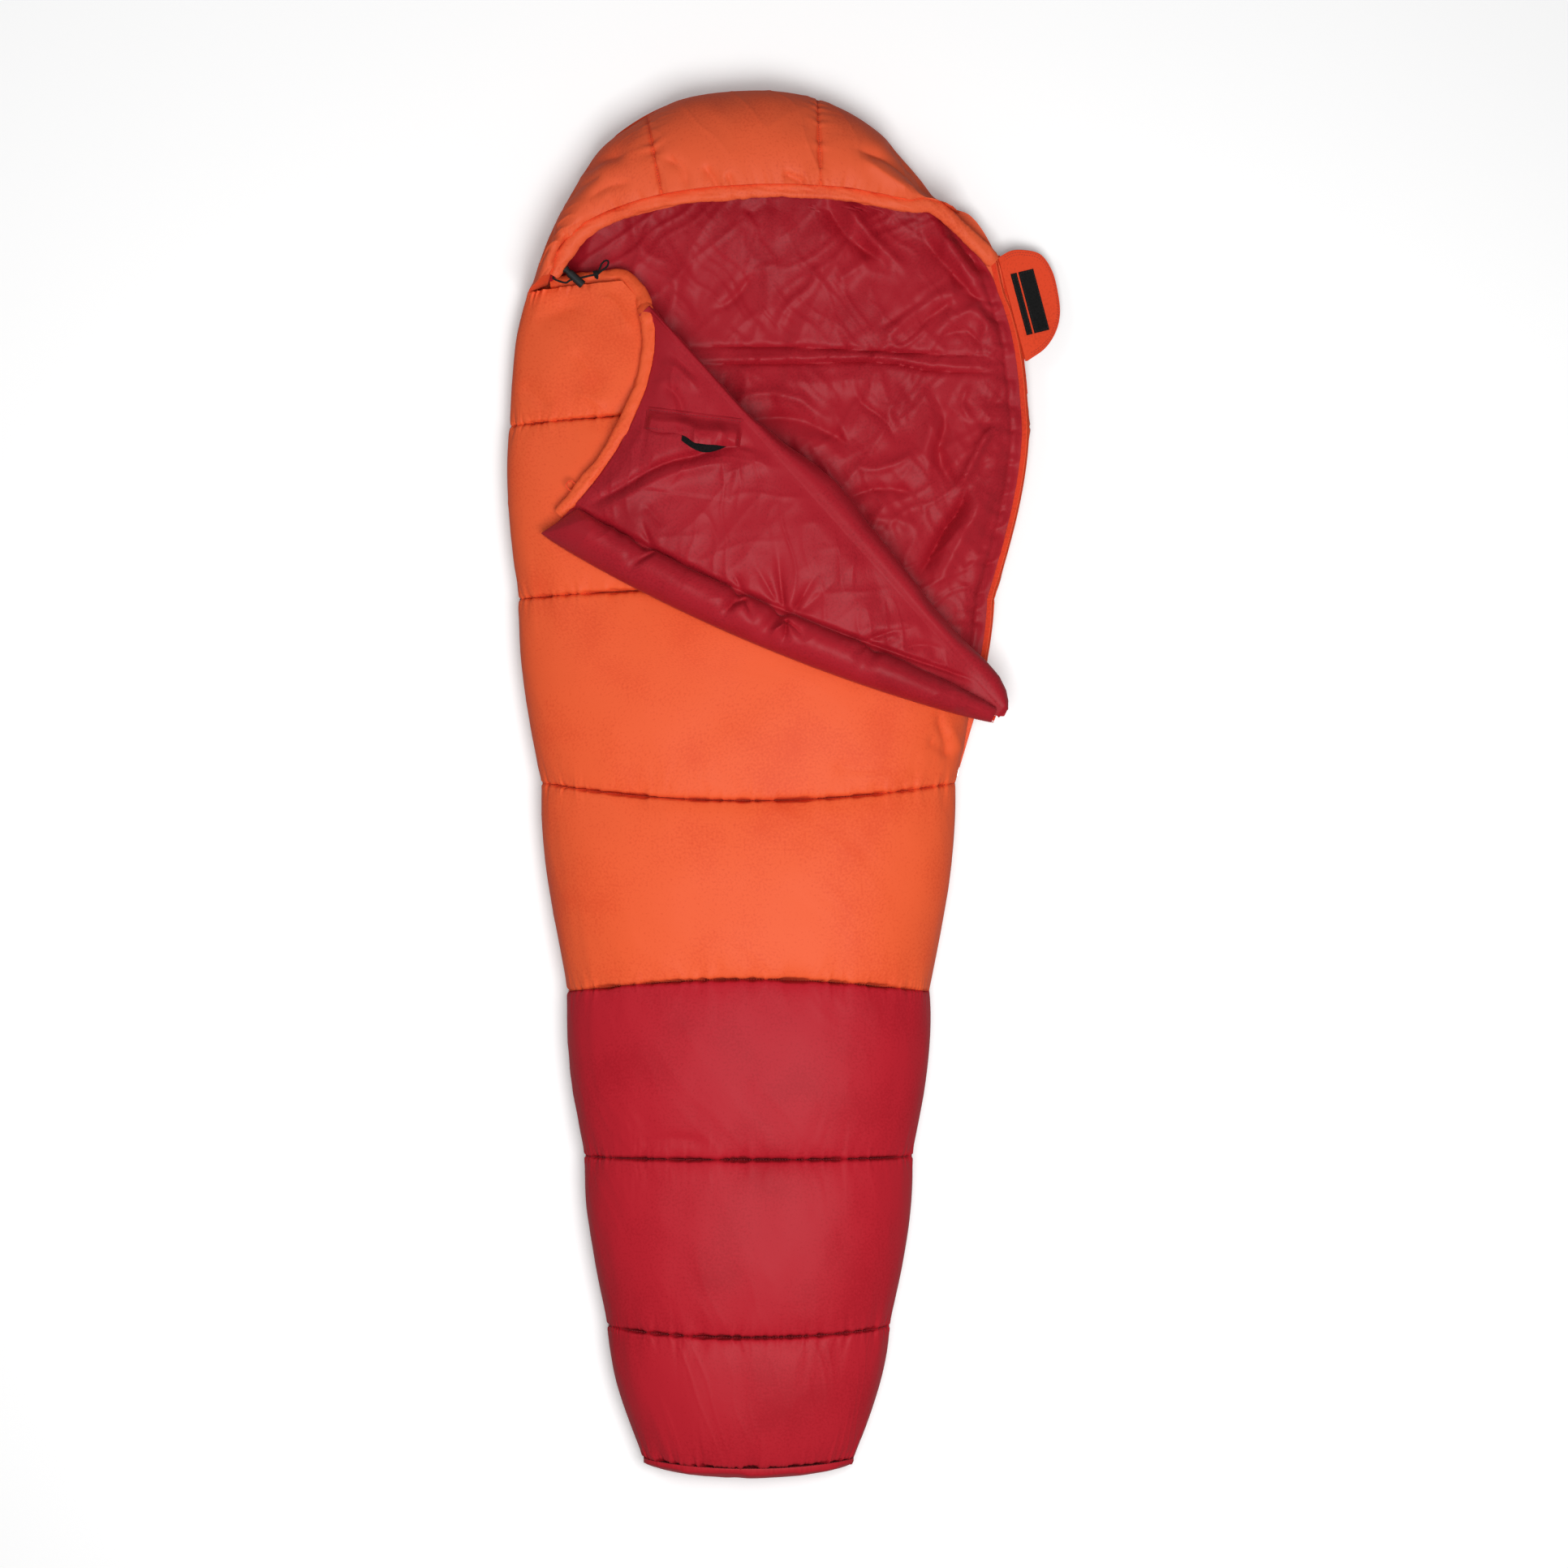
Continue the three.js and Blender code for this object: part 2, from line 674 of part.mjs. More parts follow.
// Drawcord channel round the face
function channelPoint(t) {
  const rim = rimWhole.getPointAt(lerp(hoodSeamShares[0], hoodSeamShares[3], t));
  const face = faceEdge.getPointAt(t);
  const wide = Math.hypot(rim.x - face.x, rim.y - face.y);
  const steep = 1 - ease(wide, 0, 2 * hoodWall);
  const reach = channelRadius + restGap * 0.9;
  const run = faceEdge.getTangentAt(t).setZ(0).normalize();
  face.addScaledVector(point(run.y, -run.x, 0), lerp(reach, channelRadius + restGap, steep));
  return face.setZ(lerp(face.z - loft / 4, face.z + reach, steep));
}
const zipTop = onCurve(rimRight)(tabRootShare);
const zipTopPlace = point(zipTop.x - tapeWide, zipTop.y + tapeWide + tabThick, seamLevel + channelRadius + 2);
const channelLine = smooth([
  ...Array.from({ length: 17 }, (_, k) => channelPoint(k / 16 * 0.98)),
  channelPoint(1).lerp(zipTopPlace, 0.45),
  zipTopPlace,
]);
addPiece('hood_drawcord_channel', tubeAlong(channelLine, channelRadius, 34, cordPitch / 2 + cordHole), 'hoodShell');

// Doubled drawcord: out of the channel, through the lock, into the knot and round its loop
const cordExit = channelLine.getPointAt(0);
const cordOutward = channelLine.getTangentAt(0).negate().setZ(0).normalize();
const cordDirection = point(Math.cos(cordTurn), Math.sin(cordTurn), 0);
const lockPlace = point(cordExit.x + lockReach, cordExit.y - lockDrop, cordExit.z);
const knotPlace = lockPlace.clone().addScaledVector(cordDirection, strandOut);
const bendRadius = 3 * 2 * cordRadius;
const strandPlan = [
  cordExit.clone().addScaledVector(cordOutward, seamGap),
  cordExit.clone().addScaledVector(cordOutward, bendRadius / 3),
  lockPlace.clone().addScaledVector(cordDirection, -lockRadius * 2.2).addScaledVector(cordOutward, bendRadius / 3),
  lockPlace.clone().addScaledVector(cordDirection, -lockRadius * 1.5),
  lockPlace.clone().addScaledVector(cordDirection, -lockRadius * 0.7),
  lockPlace,
  lockPlace.clone().addScaledVector(cordDirection, strandOut * 0.35),
  lockPlace.clone().addScaledVector(cordDirection, strandOut * 0.7),
  knotPlace,
];
const loopDirection = cordDirection.clone().applyAxisAngle(point(0, 0, 1), Math.PI * 0.22);
const loopSide = point(-loopDirection.y, loopDirection.x, 0);
const loopShares = [[0.28, 0.42, 0.03], [0.62, 1, 0.1], [0.9, 0.75, 0.2], [1, 0, 0.24], [0.88, -0.7, 0.22], [0.6, -0.9, 0.14], [0.28, -0.4, 0.05]];
const loopPlan = loopShares.map(([out, side, droop]) => knotPlace.clone()
  .addScaledVector(loopDirection, loopLong * out)
  .addScaledVector(loopSide, loopWide / 2 * side)
  .addScaledVector(point(0, 0, -1), loopLong * droop));
const strand = (side) => strandPlan.map((place) => place.clone().setZ(place.z + side * cordPitch / 2));
const cordPoints = [...strand(1), ...loopPlan, ...strand(-1).reverse()];
const cordLine = smooth(cordPoints);
addPiece('drawcord_free_end', tubeAlong(cordLine, cordRadius, 64), 'black');
const innerLine = smooth(upTo(44).map((k) => channelLine.getPointAt(k / 44)
  .add(point(0, 0, cordPitch / 2 * (1 - k / 44)))));
addPiece('drawcord_in_channel', tubeAlong(innerLine, cordRadius, 34), 'black');

// Knot: two turns round both strands, as one ring
function ringAbout(place, direction, bore, tube, squash = 1) {
  const profile = [];
  const sides = 8;
  for (let k = 0; k <= sides; k += 1) {
    const angle = 2 * Math.PI * k / sides;
    profile.push(new THREE.Vector2(bore + tube + tube * Math.cos(angle), squash * tube * Math.sin(angle)));
  }
  const ring = new THREE.LatheGeometry(profile, 14);
  ring.applyQuaternion(new THREE.Quaternion().setFromUnitVectors(point(0, 1, 0), direction));
  ring.translate(place.x, place.y, place.z);
  return ring;
}
const knotBore = cordPitch / 2 + cordRadius + seamGap;
addPiece('drawcord_knot', ringAbout(knotPlace.clone().addScaledVector(cordDirection, -knotTube), cordDirection, knotBore, knotTube), 'black');

// Cord lock: a barrel with a sprung plunger, crossed by the doubled cord
const lockAxis = point(Math.cos(lockTurn), Math.sin(lockTurn), 0);
function barrel(radius, from, to, sides = 16) {
  const solid = new THREE.CylinderGeometry(radius, radius, to - from, sides);
  solid.translate(0, (to + from) / 2, 0);
  solid.applyQuaternion(new THREE.Quaternion().setFromUnitVectors(point(0, 1, 0), lockAxis));
  return solid.translate(lockPlace.x, lockPlace.y, lockPlace.z);
}
function crossHole(extra, spread) {
  const shape = new THREE.Shape();
  const high = cordPitch / 2;
  const radius = cordRadius + extra;
  shape.absarc(spread, high, radius, 0, Math.PI / 2);
  shape.absarc(-spread, high, radius, Math.PI / 2, Math.PI);
  shape.absarc(-spread, -high, radius, Math.PI, 1.5 * Math.PI);
  shape.absarc(spread, -high, radius, 1.5 * Math.PI, 2 * Math.PI);
  const hole = new THREE.ExtrudeGeometry(shape, { depth: 6 * lockRadius, curveSegments: 4, bevelEnabled: false });
  hole.translate(0, 0, -3 * lockRadius);
  hole.rotateX(Math.PI / 2);
  hole.rotateZ(cordTurn - Math.PI / 2);
  return hole.translate(lockPlace.x, lockPlace.y, lockPlace.z);
}
const plungerRadius = lockRadius - lockWall - slideClear;
const barrelTop = -lockLong / 2;
const barrelEnd = lockLong / 2;
addPiece('cord_lock_barrel', cutBy(barrel(lockRadius, barrelTop, barrelEnd), [
  barrel(lockRadius - lockWall, barrelTop - lockFloor, barrelEnd - lockFloor),
  crossHole(cordHole - cordRadius, seamGap),
]), 'black');
const plungerFoot = barrelEnd - lockFloor - plungerTravel - springRadius / 2;
addPiece('cord_lock_plunger', cutBy(toGeometry(
  toSolid(barrel(plungerRadius, barrelTop - plungerStand, plungerFoot))
    .add(toSolid(barrel(lockRadius, barrelTop - plungerStand - plungerCap, barrelTop - plungerStand))),
), [crossHole(cordHole - cordRadius, plungerTravel)]), 'black');
addPiece('cord_lock_spring', cutBy(
  barrel(springRadius, plungerFoot + seamGap, barrelEnd - lockFloor - seamGap, 10),
  [barrel(springRadius - springWire, plungerFoot - lockFloor, barrelEnd, 10)],
), 'metal');

// Drawcord channel along the front's chest edge
function chestEdgePoint(u) {
  const edge = frontPoint(0, u, 0, false, false);
  const under = frontPoint(0, u, 0, true, false);
  const reach = channelRadius + 2 * seamGap;
  return point(lerp(edge.x, under.x, 0.4), edge.y + reach, Math.max((edge.z + under.z) / 2, seamLevel + reach));
}
const chestLine = smooth(Array.from({ length: 12 }, (_, k) => chestEdgePoint(lerp(0.38, 0.97, k / 11))));
addPiece('chest_drawcord_channel', tubeAlong(chestLine, channelRadius, 14, cordPitch / 2 + cordHole), 'orangeShell');

// Fold: the pad's half turn past the fold line
const foldLow = (s) => {
  const place = foldPoint(s, 0);
  return Math.max(frontUnder(place.x, place.y), cornerLevel - loft / 2);
};
const drape = (s, d) => {
  const place = foldPoint(s, d);
  return Math.max(frontTop(place.x, place.y), cornerLevel) + restGap;
};

// Edges of the turned-back corner, as distances along and out from the fold
function zipEdge(t, inset = 0) {
  const slope = Math.atan2(tipOut - footCornerOut, footCornerAlong - tipAlong);
  const bow = zipEdgeBow * Math.max(0, Math.sin(Math.PI * t)) ** 0.7;
  return [
    lerp(tipAlong, footCornerAlong, t) + (bow - inset) * Math.sin(slope),
    lerp(tipOut, footCornerOut, t) + (bow - inset) * Math.cos(slope),
  ];
}
const chestEdge = (t) => {
  const bow = chestEdgeBow * Math.max(0, Math.sin(Math.PI * clamp(t, 0, 1) ** 0.7)) ** 0.7;
  return [tipAlong * t + bow, tipOut * t];
};
const zipEdgeOut = (s) => zipEdge(clamp((s - tipAlong) / (footCornerAlong - tipAlong), 0, 1))[1];
const chestEdgeAlong = (d) => chestEdge(clamp(d / tipOut, 0, 1))[0];

function flapThick(s, d) {
  const fromZip = Math.max(0, zipEdgeOut(s) - d);
  const fromChest = Math.max(0, s - chestEdgeAlong(d));
  const fromEnd = Math.max(0, foldLength - s);
  const full = Math.min(ease(fromZip, 0, 2 * tubeWide), ease(fromChest, 0, tubeWide), ease(fromEnd, 0, tubeWide));
  return lerp(flapEdge, flapLoft, Math.sqrt(full));
}

const pair = ([s, d]) => point(s, d, 0);
function flapPlan(inset) {
  const start = (u) => pair(chestEdge(u * tipShare));
  const end = (u) => point(foldLength, 0, 0).lerp(pair(zipEdge(1, inset)), u);
  return patch(
    start,
    end,
    (v) => point(foldLength * v, 0, 0),
    (v) => pair(zipEdge(lerp(0.013, 1, v), inset)),
  );
}

function onFlap(plan, height, fromFold = seamGap) {
  return (u, v) => {
    const { x: s, y: d } = plan(u, v);
    const place = foldPoint(s, Math.max(d, fromFold));
    return place.setZ(height(s, Math.max(d, fromFold)));
  };
}
const padPlan = flapPlan(tapeWide + seamGap);
const flapTop = (s, d) => drape(s, d) + flapThick(s, d);
addPiece('flap_pad', padSolid(flapColumnCount, flapRowCount, onFlap(padPlan, flapTop), onFlap(padPlan, drape)), 'orangeShell');
const linerTop = (s, d) => flapTop(s, d) + seamGap + linerThick;
addPiece('flap_liner', padSolid(
  flapColumnCount,
  flapRowCount,
  onFlap(padPlan, linerTop),
  onFlap(padPlan, (s, d) => flapTop(s, d) + seamGap),
), 'liner');

// Fold roll
const foldCentre = (s) => (foldLow(s) + linerTop(s, 0)) / 2;
function foldRollPoint(u, v, outside) {
  const s = lerp(seamGap, foldLength, v);
  const half = (linerTop(s, 0) - foldLow(s)) / 2;
  const angle = lerp(-Math.PI / 2, Math.PI / 2, u);
  const reach = outside ? foldRadius * Math.cos(angle) + seamGap * 2 : 2 * seamGap;
  const place = foldPoint(s, -reach);
  return place.setZ(foldCentre(s) + half * Math.sin(angle) * (outside ? 1 : 0.999));
}
addPiece('flap_fold', padSolid(
  6,
  16,
  (u, v) => foldRollPoint(u, v, true).add(foldOut.clone().multiplyScalar(-seamGap)),
  (u, v) => foldRollPoint(u, v, false),
), 'liner');

// Draft tube along the zip edge
function tubePlan(u, v) {
  return pair(zipEdge(lerp(0.04, 0.96, v), lerp(1, tubeWide, u) * Math.min(1, lerp(1, 0.35, v ** 6))));
}
const tubeSeat = (s, d) => linerTop(s, d) + restGap * lerp(0.23, 2.4, ease(s, foldLength * 0.8, foldLength * 0.95));
addPiece('draft_tube', padSolid(
  7,
  22,
  (u, v) => {
    const { x: s, y: d } = tubePlan(u, v);
    const ends = Math.min(1, Math.sqrt(Math.min(v, 1 - v) * 12 + 0.05));
    return foldPoint(s, d).setZ(tubeSeat(s, d) + linerThick + tubeHigh * puff(u) * ends);
  },
  (u, v) => {
    const { x: s, y: d } = tubePlan(u, v);
    return foldPoint(s, d).setZ(tubeSeat(s, d));
  },
), 'liner');

// Zip tape and coil on the turned-back edge
const edgeStrip = (from, to, low, high, name, look, t0 = 0.01, t1 = 0.985) => {
  const plan = (u, v) => pair(zipEdge(lerp(t0, t1, v), lerp(from, to, u)));
  addPiece(name, padSolid(1, edgeRowCount, onFlap(plan, high), onFlap(plan, low)), look);
};
edgeStrip(
  tapeWide,
  2 * coilRadius + seamGap,
  (s, d) => drape(s, d) + coilRadius - tapeThick / 2,
  (s, d) => drape(s, d) + coilRadius + tapeThick / 2,
  'flap_zip_tape',
  'zipTape',
);
const flapCoilLine = smooth(Array.from({ length: 20 }, (_, k) => {
  const [s, d] = zipEdge(lerp(0.01, 0.985, k / 19), coilRadius);
  return foldPoint(s, d).setZ(drape(s, d) + coilRadius);
}));
addPiece('flap_zip_coil', tubeAlong(flapCoilLine, coilRadius, 24), 'zipTape');

// Drawcord channel on the turned-back chest edge
const flapChestLine = smooth(upTo(flapColumnCount - 1, 2).map((k) => {
  const [s, d] = chestEdge(k / flapColumnCount * tipShare);
  const reach = channelRadius - 1.3 * seamGap;
  const [sNext, dNext] = chestEdge((k + 1) / flapColumnCount * tipShare);
  const [sLast, dLast] = chestEdge((k - 1) / flapColumnCount * tipShare);
  const run = Math.hypot(sNext - sLast, dNext - dLast);
  const place = foldPoint(s - reach * (dNext - dLast) / run, d + reach * (sNext - sLast) / run);
  return place.setZ(frontTop(place.x, place.y) + restGap + channelRadius);
}));
addPiece('flap_drawcord_channel', tubeAlong(flapChestLine, channelRadius, 16, cordPitch / 2 + cordHole), 'orangeShell');

// Small loop of tape outside the channel, near the tip
const [loopAlong, loopOut] = chestEdge(loopPlace);
const loopMiddle = foldPoint(loopAlong - 2 * channelRadius - loopReach / 2, loopOut);
const loopLevel = frontTop(loopMiddle.x, loopMiddle.y) + restGap + channelRadius;
function bandLoop(long, wide, grow) {
  const block = new THREE.BoxGeometry(long + 2 * grow, wide + 2 * grow, loopBandWide + 4 * Math.max(0, -grow));
  block.rotateZ(Math.atan2(foldAlong.y, foldAlong.x));
  return block.translate(loopMiddle.x, loopMiddle.y, loopLevel);
}
addPiece('hang_loop', cutBy(bandLoop(loopReach, loopWideOut, 0), [bandLoop(loopReach, loopWideOut, -loopBand)]), 'orangeShell');

// Loop patch on the corner's shell side, for the tab's hooks
const loopPatchPlan = (u, v) => pair(zipEdge(
  lerp(loopPatchFrom, loopPatchTo, v),
  tapeWide * 2 + loopPatchWide * u,
));
addPiece('tab_loop_patch', padSolid(
  2,
  5,
  onFlap(loopPatchPlan, (s, d) => drape(s, d) - 4 * seamGap),
  onFlap(loopPatchPlan, (s, d) => drape(s, d) - 4 * seamGap - tapeThick),
), 'black');

// Inner pocket on the corner's liner
const pocketLine = pair([pocketEndAlong - pocketAlong, pocketEndOut - pocketOut]).normalize();
const pocketDown = point(-pocketLine.y, pocketLine.x, 0);
const inPocket = (wide, deep, from = 0) => (u, v) => point(pocketAlong, pocketOut, 0)
  .addScaledVector(pocketLine, pocketInset + wide * u)
  .addScaledVector(pocketDown, from + deep * v);
const pocketPlan = inPocket(pocketWide, pocketDeep);
const pocketSwell = (u, v) => pocketStand * puff(u) * Math.sqrt(1 - v ** 4);
const onPocket = (plan, extra) => (u, v) => {
  const { x: s, y: d } = plan(u, v);
  return foldPoint(s, d).setZ(linerTop(s, d) + seamGap + extra(u, v));
};
addPiece('pocket_patch', padSolid(
  8,
  6,
  onPocket(pocketPlan, (u, v) => pocketSwell(u, v) + pocketSheet),
  onPocket(pocketPlan, (u, v) => pocketSwell(u, v)),
), 'liner');
const hookPlan = inPocket(pocketWide, pocketHookDeep, pocketHem);
const hookShare = (u) => lerp((1 - pocketHookShare) / 2, (1 + pocketHookShare) / 2, u);
const hookSwell = (u, v) => pocketSwell(hookShare(u), (pocketHem + pocketHookDeep * v) / pocketDeep) + pocketSheet;
addPiece('pocket_hook_strip', padSolid(
  4,
  1,
  onPocket((u, v) => hookPlan(hookShare(u), v), (u, v) => hookSwell(u, v) + 4 * seamGap + hookThick),
  onPocket((u, v) => hookPlan(hookShare(u), v), (u, v) => hookSwell(u, v) + 4 * seamGap),
), 'hook');
const pocketFlapPlan = inPocket(pocketWide, pocketFlapDeep, pocketFlapDeep * -0.55);
const pocketFlapSwell = (u, v) => {
  const over = ease(v, 0.1, 0.6);
  const swell = pocketSwell(lerp(0.06, 0.94, u), 0) + pocketSheet + hookThick + 8 * seamGap;
  return lerp(seamGap, swell, over);
};
addPiece('pocket_flap', padSolid(
  8,
  5,
  onPocket(pocketFlapPlan, (u, v) => pocketFlapSwell(u, v) + pocketFlapThick),
  onPocket(pocketFlapPlan, pocketFlapSwell),
), 'liner');

// Zip tape and coil on the open back, with its top stop
const openRows = [
  [0, 0], [0, 0.25], [0, 0.5], [0, 0.75], [1, 0], [1, 0.25], [1, 0.5], [1, 0.75], [2, 0], [2, 0.25], [2, 0.34],
];
const openRim = [
  zipTop,
  ...openRows.map(([i, v]) => {
    const row = rowOf(i, v);
    return point(row.right, row.y, 0);
  }),
];
const onRim = (inset, z) => openRim.map((place) => point(place.x - inset, place.y, z));
const rimStrip = (from, to, low, high) => {
  const rows = openRim.length - 1;
  const surface = (z) => (u, v) => onRim(lerp(from, to, u), z)[Math.round(v * rows)];
  return padSolid(1, rows, surface(high), surface(low));
};
const rimTop = seamLevel + seamGap / 2;
addPiece('back_zip_tape', rimStrip(tapeWide, 2 * coilRadius + 3 * seamGap, rimTop, rimTop + tapeThick), 'zipTape');
addPiece('back_zip_coil', tubeAlong(smooth(onRim(coilRadius, rimTop + coilRadius)), coilRadius, 22), 'zipTape');
const stopPlace = openRim[0];
const stopWide = 2 * coilRadius + 2 * seamGap;
const topStop = new THREE.BoxGeometry(stopWide, stopLong, stopWide);
topStop.translate(stopPlace.x - coilRadius, stopPlace.y + stopLong / 2 + 2 * seamGap, rimTop + stopWide / 2);
addPiece('zip_top_stop', topStop, 'metal');

// Closed zip: a straight run from the slider down to the thigh, in a groove of the side seam
const zipFrom = point(sliderHalf, sliderY, seamLevel);
const zipTo = point(thighHalf, thighY + stopLong, seamLevel);
const zipRun = zipTo.clone().sub(zipFrom);
const zipLength = zipRun.length();
const zipTurn = Math.atan2(zipRun.y, zipRun.x);
const zipBlock = (along, across, high, atAlong, atOut, atUp = 0) => {
  const block = new THREE.BoxGeometry(along, across, high);
  block.translate(atAlong, atOut, atUp);
  block.rotateZ(zipTurn);
  return block.translate(zipFrom.x, zipFrom.y, seamLevel);
};
const groove = zipBlock(
  zipLength + 2 * grooveLead,
  grooveOverrun + zipGrooveDeep,
  zipGrooveHigh,
  zipLength / 2,
  (grooveOverrun - zipGrooveDeep) / 2,
);
for (const name of ['back_chamber_3', 'back_chamber_4', 'back_chamber_5', 'front_chamber_3', 'front_chamber_4', 'front_chamber_5']) {
  const chamber = bag.getObjectByName(name);
  chamber.geometry = cutBy(chamber.geometry, [groove]);
}
const tapeAt = -zipGrooveDeep + seamGap + closedTapeThick / 2;
const chainAt = tapeAt + closedTapeThick / 2 + seamGap + chainThick / 2;
addPiece('closed_zip_tape', zipBlock(zipLength, closedTapeThick, closedTapeWide, zipLength / 2, tapeAt), 'zipTape');
addPiece('closed_zip_chain', zipBlock(zipLength - stopLong, chainThick, chainWide, (zipLength - stopLong) / 2, chainAt), 'zipTape');
addPiece('zip_bottom_stop', zipBlock(stopLong - seamGap, chainThick, chainWide, zipLength - stopLong / 2, chainAt), 'metal');

// Slider: a channel over the chain, with two lugs and a bar for the puller
const plateAt = chainAt + chainThick / 2 + slideClear + sliderPlate / 2;
const flangeDeep = chainThick + slideClear;
const flangeHigh = (sliderWide - chainWide) / 2 - slideClear;
const flangeAt = (chainWide + sliderWide) / 4 + slideClear / 2;
const lugAt = plateAt + sliderPlate / 2 + bailHigh / 2;
const bailAt = lugAt + bailHigh / 2 - bailThick / 2;
const pin = (radius, long) => {
  const round = new THREE.CylinderGeometry(radius, radius, long, pinSideCount);
  round.rotateX(Math.PI / 2);
  round.translate(0, bailAt, 0);
  round.rotateZ(zipTurn);
  return round.translate(zipFrom.x, zipFrom.y, seamLevel);
};
const sliderParts = [
  zipBlock(sliderLong, sliderPlate, sliderWide, 0, plateAt),
  zipBlock(sliderLong, flangeDeep + sliderPlate, flangeHigh, 0, plateAt - flangeDeep / 2, flangeAt),
  zipBlock(sliderLong, flangeDeep + sliderPlate, flangeHigh, 0, plateAt - flangeDeep / 2, -flangeAt),
  zipBlock(2 * bailThick, bailHigh + sliderPlate, bailThick, 0, lugAt - sliderPlate / 2, (sliderWide - bailThick) / 2),
  zipBlock(2 * bailThick, bailHigh + sliderPlate, bailThick, 0, lugAt - sliderPlate / 2, (bailThick - sliderWide) / 2),
  pin(bailThick / 2, sliderWide),
];
const joined = (parts) => toGeometry(parts.map(toSolid).reduce((all, part) => all.add(part)));
addPiece('zip_slider', joined(sliderParts), 'metal');
const knuckleRadius = bailThick / 2 + slideClear + pullerThick / 2;
const knuckle = joined([
  pin(knuckleRadius, pullerWide - 2 * seamGap),
  zipBlock(pullerLong, pullerThick, pullerWide - 2 * seamGap, pullerLong / 2 + bailThick, bailAt),
]);
addPiece('zip_puller', cutBy(knuckle, [
  pin(bailThick / 2 + slideClear, 2 * sliderWide),
]), 'metal');

// Hook-and-loop tab at the top of the zip, with its sewn strip
const tabRoot = point(Math.sin(tabLean), -Math.cos(tabLean), 0);
const tabOutward = point(Math.cos(tabLean), Math.sin(tabLean), 0);
const tabPlan = [
  [0.002, 0.005], [-0.027, 0.256], [-0.01, 0.497], [0.068, 0.838], [0.229, 0.988], [0.455, 0.995],
  [0.654, 0.917], [0.801, 0.738], [0.923, 0.435], [0.998, 0.005],
];
const tabShape = new THREE.Shape(new THREE.SplineCurve(
  tabPlan.map(([along, out]) => new THREE.Vector2(tabLong * along, tabDeep * out)),
).getPoints(2 * tabPlan.length));
const tabPlace = point(zipTop.x, zipTop.y + tabThick, tabLevel).addScaledVector(tabOutward, tabStand);
function onTab(geometry) {
  geometry.rotateX(-tabDroop);
  geometry.applyMatrix4(new THREE.Matrix4().makeBasis(tabRoot, tabOutward, point(0, 0, 1)));
  return geometry.translate(tabPlace.x, tabPlace.y, tabPlace.z);
}
const tabSheet = new THREE.ExtrudeGeometry(tabShape, { depth: tabThick, bevelEnabled: false });
tabSheet.translate(0, 0, -tabThick / 2);
addPiece('zip_tab', onTab(tabSheet), 'zipTape');
const hookStrip = (wide, out) => onTab(new THREE.BoxGeometry(hookLong, wide, hookThick)
  .translate(hookMiddle, out, tabThick / 2 + seamGap + hookThick / 2));
addPiece('tab_hook_strip_wide', hookStrip(hookWide, hookWideOut), 'hook');
addPiece('tab_hook_strip_narrow', hookStrip(hookNarrow, hookNarrowOut), 'hook');
const hemSurface = (out) => (u, v) => {
  const place = openRim[Math.round(v * 3)];
  return point(place.x + seamGap + out, place.y, seamLevel - hemHigh * u);
};
addPiece('tab_hem', padSolid(1, 3, hemSurface(hemThick), hemSurface(0)), 'zipTape');

// Centre the part on its footprint, standing on the floor; the loose cord doesn't count
const cordNames = ['drawcord_free_end', 'drawcord_in_channel'];
const reach = new THREE.Box3();
for (const piece of bag.children) {
  if (!cordNames.includes(piece.name)) reach.expandByObject(piece);
}
const middle = reach.getCenter(new THREE.Vector3());
for (const piece of bag.children) {
  piece.geometry.translate(-middle.x, -middle.y, -reach.min.z);
}

export default bag;
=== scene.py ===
"""A mummy sleeping bag on its back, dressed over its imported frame.

The bag lies with its front corner folded open. Lengths in the classes are millimetres in the
bag's own plan, with X = 0 on its middle line; bag_to_row() turns them into the frame's metres.
"""

from __future__ import annotations

import logging
import math
from dataclasses import dataclass, field
from typing import Sequence

import bpy
import numpy as np
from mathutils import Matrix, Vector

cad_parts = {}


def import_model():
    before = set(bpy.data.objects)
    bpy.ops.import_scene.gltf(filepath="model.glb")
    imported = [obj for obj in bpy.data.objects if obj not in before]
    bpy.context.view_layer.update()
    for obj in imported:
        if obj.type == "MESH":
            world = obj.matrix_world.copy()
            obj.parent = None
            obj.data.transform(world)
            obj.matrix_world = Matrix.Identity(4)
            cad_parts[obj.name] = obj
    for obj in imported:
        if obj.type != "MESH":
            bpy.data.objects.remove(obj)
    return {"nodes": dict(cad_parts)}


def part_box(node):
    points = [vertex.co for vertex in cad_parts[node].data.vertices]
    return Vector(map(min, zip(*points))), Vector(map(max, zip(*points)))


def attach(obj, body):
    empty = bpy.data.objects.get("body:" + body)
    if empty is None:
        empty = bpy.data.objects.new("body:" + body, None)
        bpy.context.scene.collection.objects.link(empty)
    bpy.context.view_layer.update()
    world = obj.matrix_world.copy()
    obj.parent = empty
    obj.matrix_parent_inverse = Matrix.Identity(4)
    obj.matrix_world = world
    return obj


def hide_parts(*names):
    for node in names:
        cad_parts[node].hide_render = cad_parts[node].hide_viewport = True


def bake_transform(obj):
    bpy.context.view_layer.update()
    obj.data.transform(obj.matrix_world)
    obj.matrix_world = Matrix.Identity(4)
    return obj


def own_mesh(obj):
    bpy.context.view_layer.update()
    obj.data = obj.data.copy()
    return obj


log = logging.getLogger("sleeping_bag")
Grid = np.ndarray

MM = 0.001
UP = np.array([0, 0, 1.0])
SHIFT = np.array([54.81, 0.58, 0.0])  # the bag's plan, measured from the frame's origin


# ---------------------------------------------------------------------------
# Numbers and noise


def bag_to_row(points: Grid) -> Grid:
    """Bag millimetres to metres in the frame."""
    return (np.asarray(points, float) - SHIFT) * MM


def lerp(a: Grid | float, b: Grid | float, t: Grid | float) -> Grid | float:
    """Straight mix of a and b."""
    return a + (b - a) * t


